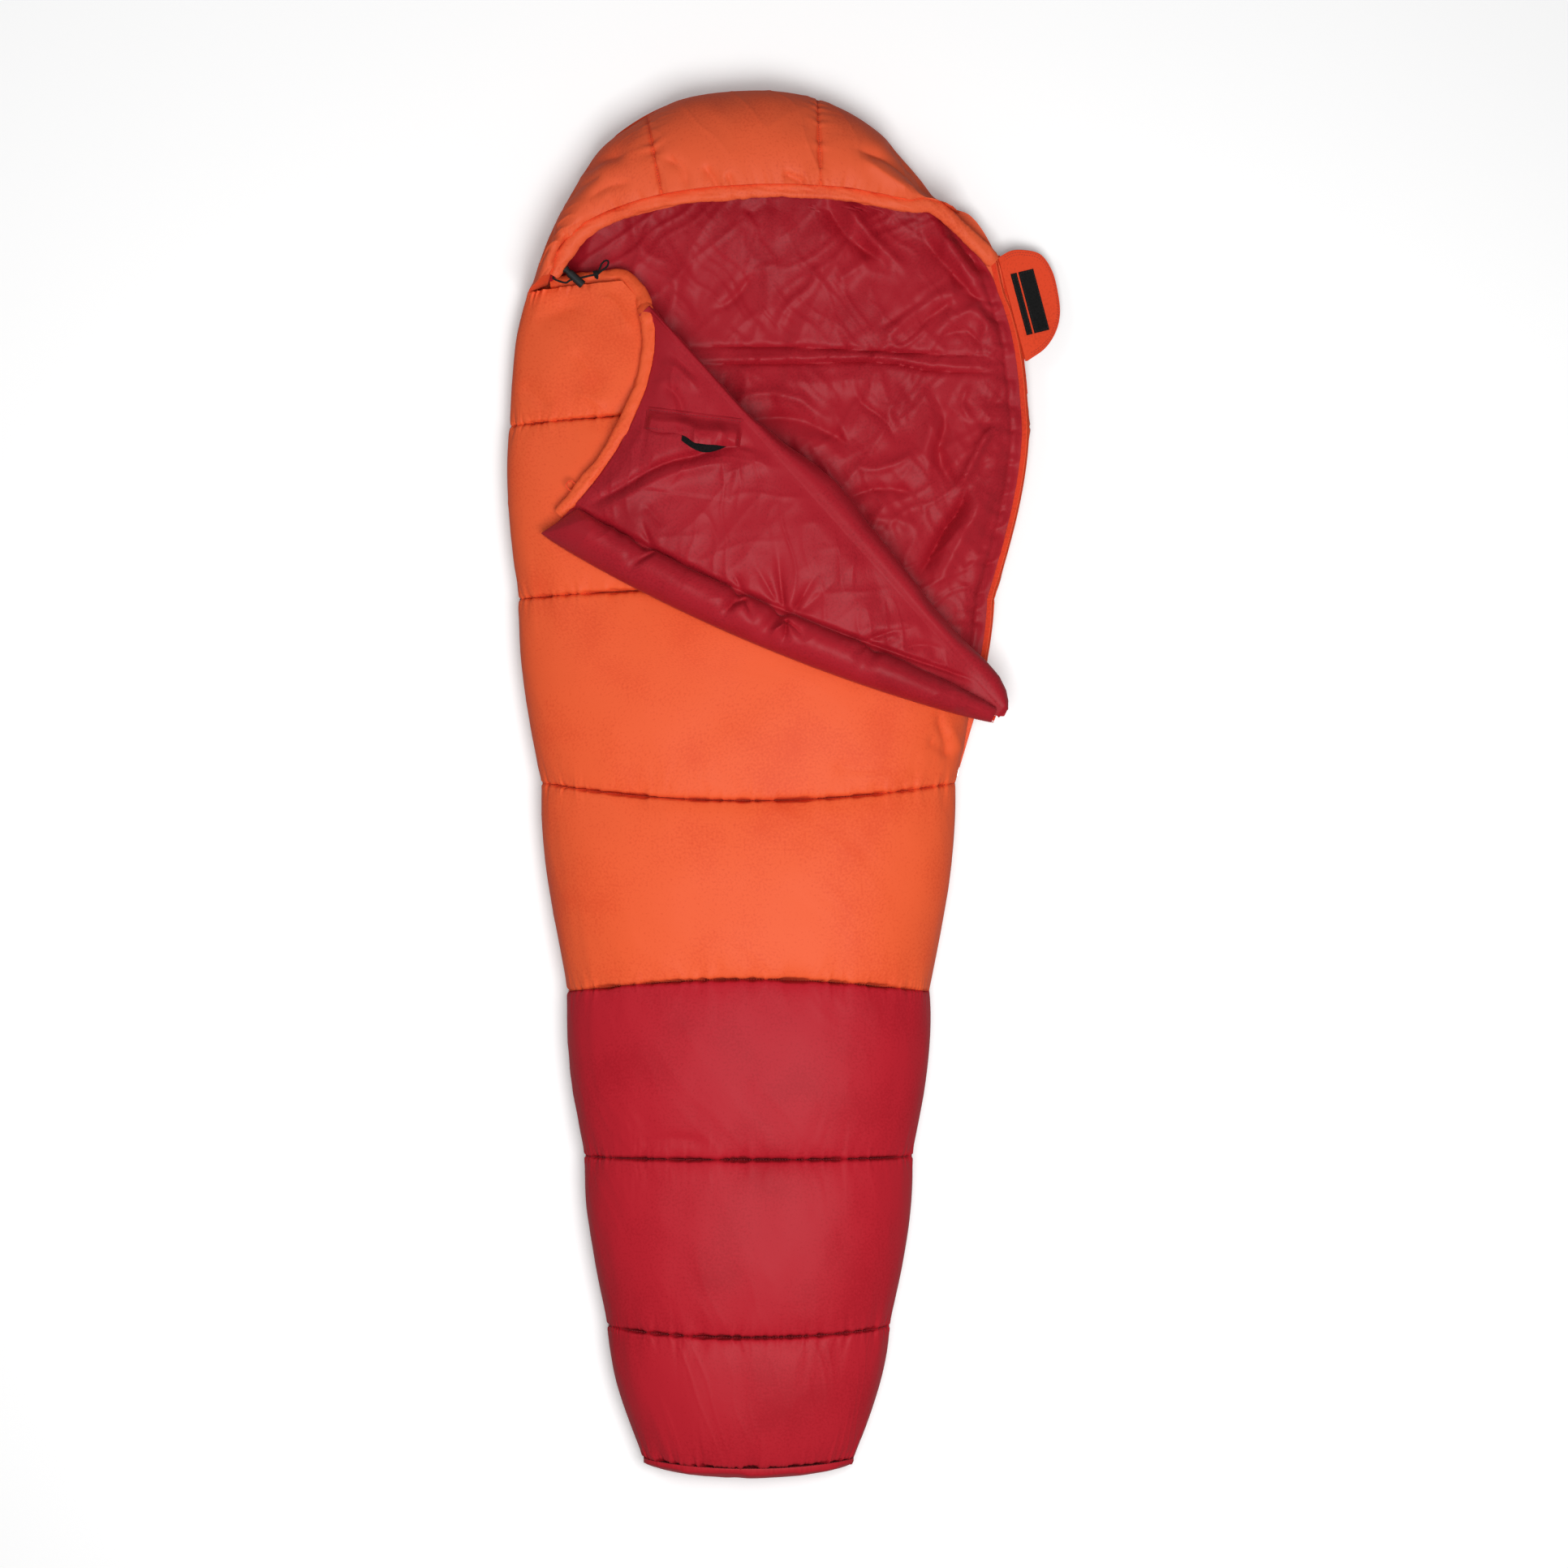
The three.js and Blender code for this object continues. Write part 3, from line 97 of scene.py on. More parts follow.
def ease(x: Grid | float, low: float, high: float) -> Grid:
    """Smooth step from 0 at low to 1 at high."""
    t = np.clip((np.asarray(x, float) - low) / (high - low), 0.0, 1.0)
    return t * t * (3 - 2 * t)


def puff(v: Grid | float) -> Grid:
    """Rise of a filled channel across its width, 0 at both seams."""
    return np.sqrt(np.maximum(0.0, np.sin(math.pi * np.clip(v, 0, 1))))


def dome(share: Grid, power: float = 2.4) -> Grid:
    """Rounded box profile: 1 over the middle, 0 at a share of -1 or 1."""
    return np.maximum(0.0, 1 - np.abs(np.clip(share, -1, 1)) ** power) ** (1 / power)


def _hash(ix: Grid, iy: Grid, seed: int) -> Grid:
    """Repeatable number from 0 to 1 for each lattice point."""
    h = (ix.astype(np.int64) * 374761393 + iy.astype(np.int64) * 668265263 + seed * 974634777) & 0xFFFFFFFF
    h = ((h ^ (h >> 13)) * 1274126177) & 0xFFFFFFFF
    h = ((h ^ (h >> 16)) * 2246822519) & 0xFFFFFFFF
    return (h & 0xFFFFFF) / float(0xFFFFFF)


def noise(x: Grid, y: Grid, seed: int = 0) -> Grid:
    """Smooth value noise, 0 to 1, one lattice cell for each unit."""
    x, y = np.broadcast_arrays(np.asarray(x, float), np.asarray(y, float))
    fx, fy = np.floor(x), np.floor(y)
    tx, ty = x - fx, y - fy
    tx = tx * tx * tx * (tx * (tx * 6 - 15) + 10)
    ty = ty * ty * ty * (ty * (ty * 6 - 15) + 10)
    low = lerp(_hash(fx, fy, seed), _hash(fx + 1, fy, seed), tx)
    high = lerp(_hash(fx, fy + 1, seed), _hash(fx + 1, fy + 1, seed), tx)
    return lerp(low, high, ty)


def creases(x: Grid, y: Grid, turn: float, long: float, wide: float, seed: int, sharp: float = 2.0) -> Grid:
    """Long soft ridges with valleys between them, as in crumpled taffeta.

    Args:
        x: Places across the cloth, in millimetres.
        y: Places along the cloth, in millimetres.
        turn: Direction of the ridges in degrees from x.
        long: Length of a ridge.
        wide: Distance between ridges.
        seed: Picks the pattern.
        sharp: Higher makes the ridges narrower.

    Returns:
        Heights from 0 to 1.
    """
    c, s = math.cos(math.radians(turn)), math.sin(math.radians(turn))
    warp = wide * 1.1 * (noise(x / (2.3 * wide), y / (2.3 * wide), seed + 7) - 0.5)
    u = (x * c + y * s) / long
    w = (-x * s + y * c + warp) / wide
    ridge = 1 - np.abs(2 * noise(u, w, seed) - 1)
    return ridge ** sharp


def soft(x: Grid, y: Grid, wide: float, seed: int) -> Grid:
    """Slow rolling relief from -1 to 1."""
    fine = wide * 0.45
    return 2 * (0.65 * noise(x / wide, y / wide, seed) + 0.35 * noise(x / fine, y / fine, seed + 3)) - 1


def puckers(along: Grid, away: Grid, reach: float, pitch: float, seed: int) -> Grid:
    """Small gathers that run out from a sewn line and die away.

    Args:
        along: Distance along the sewn line.
        away: Distance from it, 0 or more.
        reach: How far a gather runs, about.
        pitch: Distance between gathers.
        seed: Picks the pattern.

    Returns:
        Heights from -0.5 to 0.5, largest near the line.
    """
    slant = away * (noise(along / (pitch * 6), 0 * along, seed + 5) - 0.5) * 0.9
    run = reach * (0.45 + 1.1 * noise(along / (pitch * 1.7), 0 * along, seed + 9))
    shape = noise((along + slant) / pitch, away / (reach * 3), seed) - 0.5
    return shape * np.exp(-away / run)


@dataclass(frozen=True)
class Crease:
    """One fold of the cloth: x and y of the places along it in turn, its half width, and its height or depth.

    A pinned fold starts narrow and full at its first place and spreads as it runs out.
    """

    line: tuple[float, ...]
    wide: float
    high: float
    pinned: bool = False

    def relief(self, x: Grid, y: Grid) -> Grid:
        """Height of the fold over each place, fading towards its ends."""
        places = smooth_line([(a, b, 0) for a, b in np.reshape(self.line, (-1, 2))], 12)[:, :2]
        away, share = np.full(np.shape(x), 1e9), np.zeros(np.shape(x))
        for k, (start, run) in enumerate(zip(places[:-1], np.diff(places, axis=0))):
            t = np.clip(((x - start[0]) * run[0] + (y - start[1]) * run[1]) / float(run @ run), 0, 1)
            here = np.hypot(x - start[0] - t * run[0], y - start[1] - t * run[1])
            share = np.where(here < away, (k + t) / (len(places) - 1), share)
            away = np.minimum(away, here)
        wide = self.wide * (0.35 + 0.65 * share) if self.pinned else self.wide
        fade = ease(1 - share, 0, 0.8) if self.pinned else ease(np.minimum(share, 1 - share), -0.02, 0.28)
        return self.high * np.exp(-((away / wide) ** 1.45)) * fade


def fold_relief(table: Sequence[Crease], x: Grid, y: Grid) -> Grid:
    """Heights of all the folds of a table together."""
    return sum(crease.relief(x, y) for crease in table)


# ---------------------------------------------------------------------------
# Finishes


def linear(hex_colour: str) -> tuple[float, float, float, float]:
    """An sRGB hex colour as the linear values a shader socket takes."""
    parts = [int(hex_colour[k : k + 2], 16) / 255 for k in (1, 3, 5)]
    values = [c / 12.92 if c <= 0.04045 else ((c + 0.055) / 1.055) ** 2.4 for c in parts]
    return (values[0], values[1], values[2], 1.0)


def set_node(tree: bpy.types.NodeTree, node: bpy.types.Node, links: dict | None = None, **settings) -> None:
    """Sets a node's properties and inputs, and links its inputs, as add_node() does."""
    for name, value in settings.items():
        if hasattr(node, name):
            setattr(node, name, value)
        else:
            node.inputs[name.replace("_", " ")].default_value = value
    for name, socket in (links or {}).items():
        tree.links.new(socket, node.inputs[name])


def add_node(tree: bpy.types.NodeTree, kind: str, links: dict | None = None, **settings) -> bpy.types.Node:
    """Adds a node, sets its properties and inputs, and links its inputs.

    Args:
        tree: The material's node tree.
        kind: The node's type name, without ShaderNode before it.
        links: Input name or number to an output socket.
        **settings: Properties by name; a name that isn't a property sets the input of that name,
            with _ for a space.

    Returns:
        The new node.
    """
    node = tree.nodes.new(f"ShaderNode{kind}")
    set_node(tree, node, links, **settings)
    return node


def new_material(name: str) -> tuple[bpy.types.Material, bpy.types.NodeTree, bpy.types.Node]:
    """A node material, with its tree and its surface shader."""
    material = bpy.data.materials.new(name)
    material.use_nodes = True
    return material, material.node_tree, material.node_tree.nodes["Principled BSDF"]


@dataclass(frozen=True)
class ClothFinish:
    """A dyed polyester cloth with a soft calendered sheen.

    The pattern follows the piece's own UV map, which is in metres on the cloth. The real thread
    spacing of 0.1 mm can't show, so it is drawn about ten times as coarse.
    """

    name: str
    colour: str
    dark: str
    roughness: float = 0.5
    thread: float = 1.1  # mm between drawn threads
    relief: float = 0.012  # mm
    crinkle: float = 0.35  # mm, fine crumpling
    crinkle_scale: float = 22.0  # mm
    sheen: float = 0.01
    tufted: bool = False  # hooks or loops stand up where its threads cross

    def make(self) -> bpy.types.Material:
        """The node material."""
        material, tree, shader = new_material(self.name)
        place = add_node(tree, "UVMap", uv_map="cloth")
        spot = add_node(tree, "TexCoord")
        blotch = add_node(tree, "TexNoise", {"Vector": spot.outputs["Object"]}, Scale=9.0, Detail=2.0)
        slub = add_node(tree, "TexNoise", {"Vector": place.outputs["UV"]}, Scale=260.0, Detail=1.0)
        both = add_node(tree, "Math", {0: blotch.outputs["Fac"], 1: slub.outputs["Fac"]}, operation="MULTIPLY")
        tint = add_node(tree, "ValToRGB", {"Fac": both.outputs[0]})
        tint.color_ramp.elements[0].position = 0.1
        tint.color_ramp.elements[0].color = linear(self.dark)
        tint.color_ramp.elements[1].position = 0.26
        tint.color_ramp.elements[1].color = linear(self.colour)
        crumple = add_node(
            tree, "TexNoise", {"Vector": spot.outputs["Object"]},
            Scale=1000.0 / self.crinkle_scale, Detail=3.0, Roughness=0.55, Distortion=0.6,
        )
        fold = add_node(tree, "Bump", {"Height": crumple.outputs["Fac"]}, Distance=self.crinkle * MM)
        threads = [
            add_node(
                tree, "TexWave", {"Vector": place.outputs["UV"]},
                wave_type="BANDS", bands_direction=way, Scale=1000.0 / self.thread * math.pi / 10, Distortion=0.3,
            )
            for way in ("X", "Y")
        ]
        cross = add_node(
            tree, "Math", {0: threads[0].outputs["Fac"], 1: threads[1].outputs["Fac"]},
            operation="ADD" if self.tufted else "MULTIPLY",
        )
        weave = add_node(
            tree, "Bump", {"Height": cross.outputs[0], "Normal": fold.outputs["Normal"]},
            Distance=self.relief * MM,
        )
        set_node(
            tree, shader, {"Base Color": tint.outputs["Color"], "Normal": weave.outputs["Normal"]},
            Roughness=self.roughness, Sheen_Weight=self.sheen, Sheen_Roughness=0.4, Specular_IOR_Level=0.14,
        )
        return material


@dataclass(frozen=True)
class MouldedFinish:
    """Moulded plastic or cast metal with a faint grain."""

    name: str
    colour: str
    roughness: float = 0.5
    metallic: float = 0.0
    grain: float = 0.05  # mm
    grain_scale: float = 1.2  # mm
    specular: float = 0.5

    def make(self) -> bpy.types.Material:
        """The node material."""
        material, tree, shader = new_material(self.name)
        spot = add_node(tree, "TexCoord")
        grain = add_node(
            tree, "TexNoise", {"Vector": spot.outputs["Object"]}, Scale=1000.0 / self.grain_scale, Detail=2.0
        )
        ramp = add_node(tree, "ValToRGB", {"Fac": grain.outputs["Fac"]})
        base = linear(self.colour)
        ramp.color_ramp.elements[0].color = tuple(0.82 * c for c in base[:3]) + (1.0,)
        ramp.color_ramp.elements[1].color = base
        rough = add_node(
            tree, "MapRange", {"Value": grain.outputs["Fac"]},
            To_Min=self.roughness - 0.06, To_Max=self.roughness + 0.06,
        )
        bump = add_node(tree, "Bump", {"Height": grain.outputs["Fac"]}, Distance=self.grain * MM)
        links = {"Base Color": ramp.outputs["Color"], "Roughness": rough.outputs["Result"]}
        links["Normal"] = bump.outputs["Normal"]
        set_node(tree, shader, links, Metallic=self.metallic, Specular_IOR_Level=self.specular)
        return material


ORANGE_SHELL = ClothFinish("Orange calendered polyester shell", "#EE5F34", "#E4512C")
RED_SHELL = ClothFinish("Red calendered polyester shell", "#B51C2A", "#A81523")
HOOD_SHELL = ClothFinish("Deep orange calendered polyester shell", "#EA5F38", "#DD5230")
LINER = ClothFinish("Dark red polyester taffeta lining", "#A61B28", "#951421", roughness=0.46, crinkle=0.6)
ZIP_TAPE = ClothFinish("Orange herringbone zip tape", "#E23F22", "#C8361C", 0.7, 1.4, 0.15, 0.1)
TAB_CLOTH = ClothFinish("Orange polyester tab cloth", "#EC4A28", "#DB4122", 0.6, 1.2, 0.1, 0.3)
HOOK_TAPE = ClothFinish("Black woven hook tape", "#161616", "#060606", 0.85, 1.6, 0.5, 0.2, tufted=True)
LOOP_TAPE = ClothFinish("Black brushed loop tape", "#1B1B1B", "#0B0B0B", 0.95, 1.9, 0.4, 0.4, tufted=True)
CORD_BRAID = ClothFinish("Black braided cord", "#171717", "#0A0A0A", 0.7, 1.3, 0.2, 0.1)
ZIP_COIL = MouldedFinish("Orange nylon zip coil", "#D8401F", 0.45)
ZIP_METAL = MouldedFinish("Nickel-plated cast zinc", "#B9BBBD", 0.32, 1.0)
SPRING_WIRE = MouldedFinish("Drawn spring steel wire", "#A9ABAD", 0.3, 1.0, 0.02)
LOCK_PLASTIC = MouldedFinish("Black moulded acetal", "#0C0C0C", 0.45, specular=0.25)
STITCH_RED = MouldedFinish("Dark red sewing thread", "#7E1420", 0.7, 0.0, 0.1, 0.5)
STITCH_ORANGE = MouldedFinish("Rust sewing thread", "#B8371E", 0.7, 0.0, 0.1, 0.5)


# ---------------------------------------------------------------------------
# Meshes


def surface_normals(grid: Grid, wrap: bool = False) -> Grid:
    """Unit normals of a grid of places; wrap joins its last column to its first."""
    if wrap:
        across = np.roll(grid, -1, axis=1) - np.roll(grid, 1, axis=1)
    else:
        across = np.gradient(grid, axis=1)
    along = np.gradient(grid, axis=0)
    normal = np.cross(across, along)
    length = np.linalg.norm(normal, axis=2, keepdims=True)
    return normal / np.maximum(length, 1e-9)


def upward_normals(grid: Grid) -> Grid:
    """Unit normals of a lying grid, on the whole upwards."""
    normal = surface_normals(grid)
    return normal * np.sign(normal[..., 2].mean())


def cloth_lengths(grid: Grid) -> Grid:
    """Distances across and along a grid of places, in metres, for its UV map."""
    step_u = np.linalg.norm(np.diff(grid, axis=1), axis=2)
    step_v = np.linalg.norm(np.diff(grid, axis=0), axis=2)
    u = np.concatenate([np.zeros((grid.shape[0], 1)), np.cumsum(step_u, axis=1)], axis=1)
    v = np.concatenate([np.zeros((1, grid.shape[1])), np.cumsum(step_v, axis=0)], axis=0)
    u -= u.mean(axis=1, keepdims=True)
    return np.stack([u, v], axis=2) * MM


def mesh_object(name: str, places: Grid, faces: Sequence[Sequence[int]], uv: Grid | None = None) -> bpy.types.Object:
    """A mesh from bag-millimetre places, shaded smooth, at the origin.

    Args:
        name: The piece's name.
        places: One row for each vertex.
        faces: Vertex numbers of each face.
        uv: One row of cloth metres for each vertex.

    Returns:
        The new object, linked to the scene.
    """
    data = bpy.data.meshes.new(name)
    data.from_pydata(bag_to_row(places).tolist(), [], faces)
    data.validate()
    data.polygons.foreach_set("use_smooth", [True] * len(data.polygons))
    if uv is None:
        uv = np.asarray(places)[:, :2] * MM
    data.set_sharp_from_angle(angle=math.radians(58))
    layer = data.uv_layers.new(name="cloth")
    index = np.empty(len(data.loops), dtype=np.int64)
    data.loops.foreach_get("vertex_index", index)
    layer.data.foreach_set("uv", np.asarray(uv)[index].astype(np.float32).ravel())
    data.update()
    piece = bpy.data.objects.new(name, data)
    bpy.context.scene.collection.objects.link(piece)
    return piece


def volume_sign(places: Grid, faces: Grid) -> float:
    """Positive where the quads' loops face outwards."""
    a, b, c, d = (places[faces[:, k]] for k in range(4))
    return float((np.einsum("ij,ij->i", a, np.cross(b, c)) + np.einsum("ij,ij->i", a, np.cross(c, d))).sum())


def closed_pad(name: str, outer: Grid, inner: Grid, wrap: bool = False) -> bpy.types.Object:
    """A closed body between two grids of places.

    Args:
        name: The piece's name.
        outer: Rows by columns by 3, the outside.
        inner: The same for the inside.
        wrap: Whether the last column joins the first, as round a sleeve.

    Returns:
        The new object.
    """
    rows, columns = outer.shape[:2]
    layer = rows * columns
    number = np.arange(layer).reshape(rows, columns)
    if wrap:
        number = np.concatenate([number, number[:, :1]], axis=1)
    a, b = number[:-1, :-1].ravel(), number[:-1, 1:].ravel()
    c, d = number[1:, 1:].ravel(), number[1:, :-1].ravel()
    parts = [np.stack([a, b, c, d], 1), np.stack([a, d, c, b], 1) + layer]
    edges = [(number[0], False), (number[-1], True)]
    if not wrap:
        edges += [(number[:, 0], True), (number[:, -1], False)]
    for edge, flip in edges:
        p, q = edge[:-1], edge[1:]
        wall = np.stack([q, p, p + layer, q + layer], 1)
        parts.append(wall[:, ::-1] if flip else wall)
    faces = np.concatenate(parts)
    places = np.concatenate([outer.reshape(-1, 3), inner.reshape(-1, 3)])
    if volume_sign(places - places.mean(axis=0), faces) < 0:
        faces = faces[:, ::-1]
    lengths = cloth_lengths(outer).reshape(-1, 2)
    return mesh_object(name, places, faces.tolist(), np.concatenate([lengths, lengths]))


def share_grid(columns: int, rows: int) -> Sequence[Grid]:
    """Shares from 0 to 1 across and down, for that many columns and rows of places."""
    return np.meshgrid(np.linspace(0, 1, columns), np.linspace(0, 1, rows))


def run_along(line: Grid) -> Grid:
    """Distance of each place of a line from its start."""
    return np.concatenate([[0], np.cumsum(np.linalg.norm(np.diff(line, axis=0), axis=1))])


def line_at(line: Grid, t: Grid) -> Grid:
    """Places on an even line at shares t of its length."""
    at = np.clip(t, 0, 1) * (len(line) - 1)
    return np.stack([np.interp(at, np.arange(len(line)), line[:, k]) for k in range(line.shape[1])], -1)


def resample(points: Grid, count: int) -> Grid:
    """Even steps along a polyline."""
    points = np.asarray(points, float)
    run = run_along(points)
    at = np.linspace(0, run[-1], count)
    return np.stack([np.interp(at, run, points[:, k]) for k in range(points.shape[1])], 1)


def smooth_line(points: Sequence[Sequence[float]], count: int) -> Grid:
    """A centripetal Catmull-Rom curve through points, in even steps."""
    p = np.asarray(points, float)
    p = np.concatenate([[2 * p[0] - p[1]], p, [2 * p[-1] - p[-2]]])
    out = []
    for k in range(1, len(p) - 2):
        knots = [0.0]
        for j in range(3):
            knots.append(knots[-1] + max(1e-6, np.linalg.norm(p[k + j] - p[k + j - 1]) ** 0.5))
        t = np.linspace(knots[1], knots[2], 24, endpoint=False)[:, None]
        a = [
            ((knots[j + 1] - t) * p[k - 1 + j] + (t - knots[j]) * p[k + j]) / (knots[j + 1] - knots[j])
            for j in range(3)
        ]
        b = [((knots[j + 2] - t) * a[j] + (t - knots[j]) * a[j + 1]) / (knots[j + 2] - knots[j]) for j in range(2)]
        out.append(((knots[2] - t) * b[0] + (t - knots[1]) * b[1]) / (knots[2] - knots[1]))
    out.append(p[-2][None, :])
    return resample(np.concatenate(out), count)


def frames_along(line: Grid) -> tuple[Grid, Grid, Grid]:
    """Tangent, side and upward directions along a line, turning as little as they can."""
    tangent = np.gradient(line, axis=0)
    tangent /= np.maximum(np.linalg.norm(tangent, axis=1, keepdims=True), 1e-9)
    side = np.cross(tangent, [0, 0, 1.0])
    side /= np.maximum(np.linalg.norm(side, axis=1, keepdims=True), 1e-9)
    return tangent, side, np.cross(side, tangent)


def tube(name: str, line: Grid, radius: Grid, sides: int) -> bpy.types.Object:
    """A closed round tube along a line.

    Args:
        name: The piece's name.
        line: Places along it.
        radius: One radius, or one for each place and side.
        sides: Faces round it.

    Returns:
        The new object.
    """
    _, side, up = frames_along(line)
    turn = np.linspace(0, 2 * math.pi, sides, endpoint=False)
    radius = np.broadcast_to(radius, (len(line), sides))
    ring = line[:, None] + radius[..., None] * (
        np.cos(turn)[None, :, None] * side[:, None] + np.sin(turn)[None, :, None] * up[:, None]
    )
    count = len(line)
    number = np.arange(count * sides).reshape(count, sides)
    following = np.roll(number, -1, axis=1)
    faces = np.stack([number[:-1], following[:-1], following[1:], number[1:]], -1).reshape(-1, 4).tolist()
    faces += [number[0, ::-1].tolist(), number[-1].tolist()]
    run = run_along(line)
    uv = np.stack(np.broadcast_arrays(turn[None, :] * np.mean(radius), run[:, None]), -1) * MM
    piece = mesh_object(name, ring.reshape(-1, 3), faces, uv.reshape(-1, 2))
    quads = np.array(faces[:-2])
    if volume_sign(ring.reshape(-1, 3) - ring.reshape(-1, 3).mean(axis=0), quads) < 0:
        piece.data.flip_normals()
    return piece


def stitches(name: str, line: Grid, pitch: float = 4.2, long: float = 2.9, thick: float = 0.5) -> bpy.types.Object:
    """A row of sewn stitches along a line, each a short thread lying on the cloth."""
    run = np.linalg.norm(np.diff(line, axis=0), axis=1).sum()
    count = max(2, int(run / pitch))
    at = resample(line, count * 2 + 1)[1::2]
    shape = [(-0.5, 0.35), (-0.25, 1.0), (0.25, 1.0), (0.5, 0.35)]
    turns = [(math.cos(k * math.pi / 2.5), math.sin(k * math.pi / 2.5)) for k in range(5)]
    places, faces = [], []
    for p, t, s, n in zip(at, *frames_along(at)):
        base = len(places)
        for along, wide in shape:
            for c, h in turns:
                places.append(p + t * along * long + (s * c + n * h) * thick * wide - n * (1 - wide) * thick)
        for ring in range(base, base + 15, 5):
            for k in range(5):
                q = (k + 1) % 5
                faces.append([ring + k, ring + q, ring + 5 + q, ring + 5 + k])
        faces.append([base + k for k in (4, 3, 2, 1, 0)])
        faces.append([base + 15 + k for k in range(5)])
    return mesh_object(name, np.array(places), faces)


class Dresser:
    """Makes each finish once and puts a piece into the frame."""

    def __init__(self) -> None:
        """Starts with no materials made."""
        self._made: dict[str, bpy.types.Material] = {}

    def material(self, finish: ClothFinish | MouldedFinish) -> bpy.types.Material:
        """The finish's material, made on first use."""
        if finish.name not in self._made:
            self._made[finish.name] = finish.make()
        return self._made[finish.name]

    def dress(
        self,
        piece: bpy.types.Object,
        finish: ClothFinish | MouldedFinish,
        body: str | None = "bag",
        slot: str | None = None,
        replaced: Sequence[str] = (),
        fill: float | None = None,
    ) -> None:
        """Gives a piece its finish, its body and the CAD nodes it stands for.

        Args:
            piece: The finished piece.
            finish: What it is made of.
            body: The body it rides on, or None to leave it on no body.
            slot: Not used.
            replaced: The CAD nodes it stands for.
            fill: Not used.
        """
        piece.data.materials.append(self.material(finish))
        if body:
            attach(piece, body)
        if replaced:
            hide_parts(*replaced)
        log.info("%s: %d faces", piece.name, len(piece.data.polygons))

    def coat(self, node: bpy.types.Object, finish: MouldedFinish, edge: float) -> None:
        """Gives a hard CAD node its finish, and soft edges that many millimetres wide."""
        node.data.materials.clear()
        node.data.materials.append(self.material(finish))
        bevel = node.modifiers.new("soft edges", "BEVEL")
        bevel.width = edge * MM
        bevel.segments = 2
        bevel.limit_method = "ANGLE"


# ---------------------------------------------------------------------------
# The bag's plan


@dataclass(frozen=True)
class BagPlan:
    """Lines and levels of the bag's body, the same as in the CAD part."""

    seam_y: tuple[float, ...] = (762, 555, 287, 2, -320, -575, -838, -1044)
    half: tuple[float, ...] = (340, 369, 356, 320, 280, 253, 218, 163)
    spread: tuple[float, ...] = (58, 66, 25, 0, 0, 0, 0, 0)
    lining: tuple[float, ...] = (58, 66, 0, 0, 0, 0, 0, 0)
    crown: tuple[float, ...] = (104, 128, 146, 166, 176, 174, 162, 126)
    bow: tuple[float, ...] = (22, 19, 15, -27, 21, -1, -12, -11)
    rise: tuple[float, ...] = (0, 8, 8, 8, 8, 8, 8, 0)
    level: float = 42.0
    loft: float = 44.0
    wall: float = 36.0
    dip: float = 17.0
    bulge: float = 10.0
    lift: float = 9.0
    fold_from: tuple[float, float] = (-156.0, 734.0)
    fold_to: tuple[float, float] = (395.0, 118.0)

    def at(self, values: tuple[float, ...], i: int, v: Grid) -> Grid:
        """A seam value at share v of chamber i."""
        return lerp(values[i], values[i + 1], v)

    def at_y(self, values: tuple[float, ...], y: Grid) -> Grid:
        """A seam value at y, straight from seam to seam."""
        return np.interp(y, self.seam_y[::-1], values[::-1])

    def swell(self, v: Grid) -> Grid:
        """How far a chamber stands out past the line of its seams."""
        return self.bulge * np.sin(math.pi * np.clip(v, 0, 1) ** 0.8)

    def swell_at(self, y: Grid) -> Grid:
        """How far the chamber at y stands out past the line of its seams."""
        v = np.zeros_like(y)
        for i in range(7):
            inside = (y <= self.seam_y[i]) & (y >= self.seam_y[i + 1])
            v = np.where(inside, (self.seam_y[i] - y) / (self.seam_y[i] - self.seam_y[i + 1]), v)
        return self.swell(v)

    def fold_x(self, y: Grid) -> Grid:
        """X of the fold line at y."""
        (ax, ay), (bx, by) = self.fold_from, self.fold_to
        return ax + (ay - y) * (bx - ax) / (ay - by)

    def end_turn(self, half: Grid, y: Grid, bow: Grid, back: float = 0.6) -> Grid:
        """Turn at which a front of that half width ends, back millimetres short of the fold line."""
        share = np.ones_like(y)
        for _ in range(5):  # each round comes closer to the bowed row's own y
            share = np.clip((self.fold_x(y + bow * (1 - share**2)) - back) / half, -1, 1)
        return np.arccos(share)

    @property
    def fold_along(self) -> Grid:
        """Unit direction of the fold line, towards the foot."""
        run = np.subtract(self.fold_to, self.fold_from)
        return run / np.linalg.norm(run)

    @property
    def fold_out(self) -> Grid:
        """Unit direction across the fold line, over the front."""
        along = self.fold_along
        return np.array([along[1], -along[0]])

    def fold_point(self, s: Grid, d: Grid, z: Grid | float = 0.0) -> Grid:
        """A place s along the fold line, d out from it and z up."""
        s, d, z = np.broadcast_arrays(np.asarray(s, float), np.asarray(d, float), np.asarray(z, float))
        a, o = self.fold_along, self.fold_out
        return np.stack([self.fold_from[0] + a[0] * s + o[0] * d, self.fold_from[1] + a[1] * s + o[1] * d, z], -1)

    def front_top(self, x: Grid, y: Grid) -> Grid:
        """Height of the front's outside over the floor."""
        y = np.asarray(y, float)
        half, crown = self.at_y(self.half, y), self.at_y(self.crown, y)
        return self.level + (crown - self.level) * dome(np.abs(x) / (half + self.swell_at(y)))


PLAN = BagPlan()


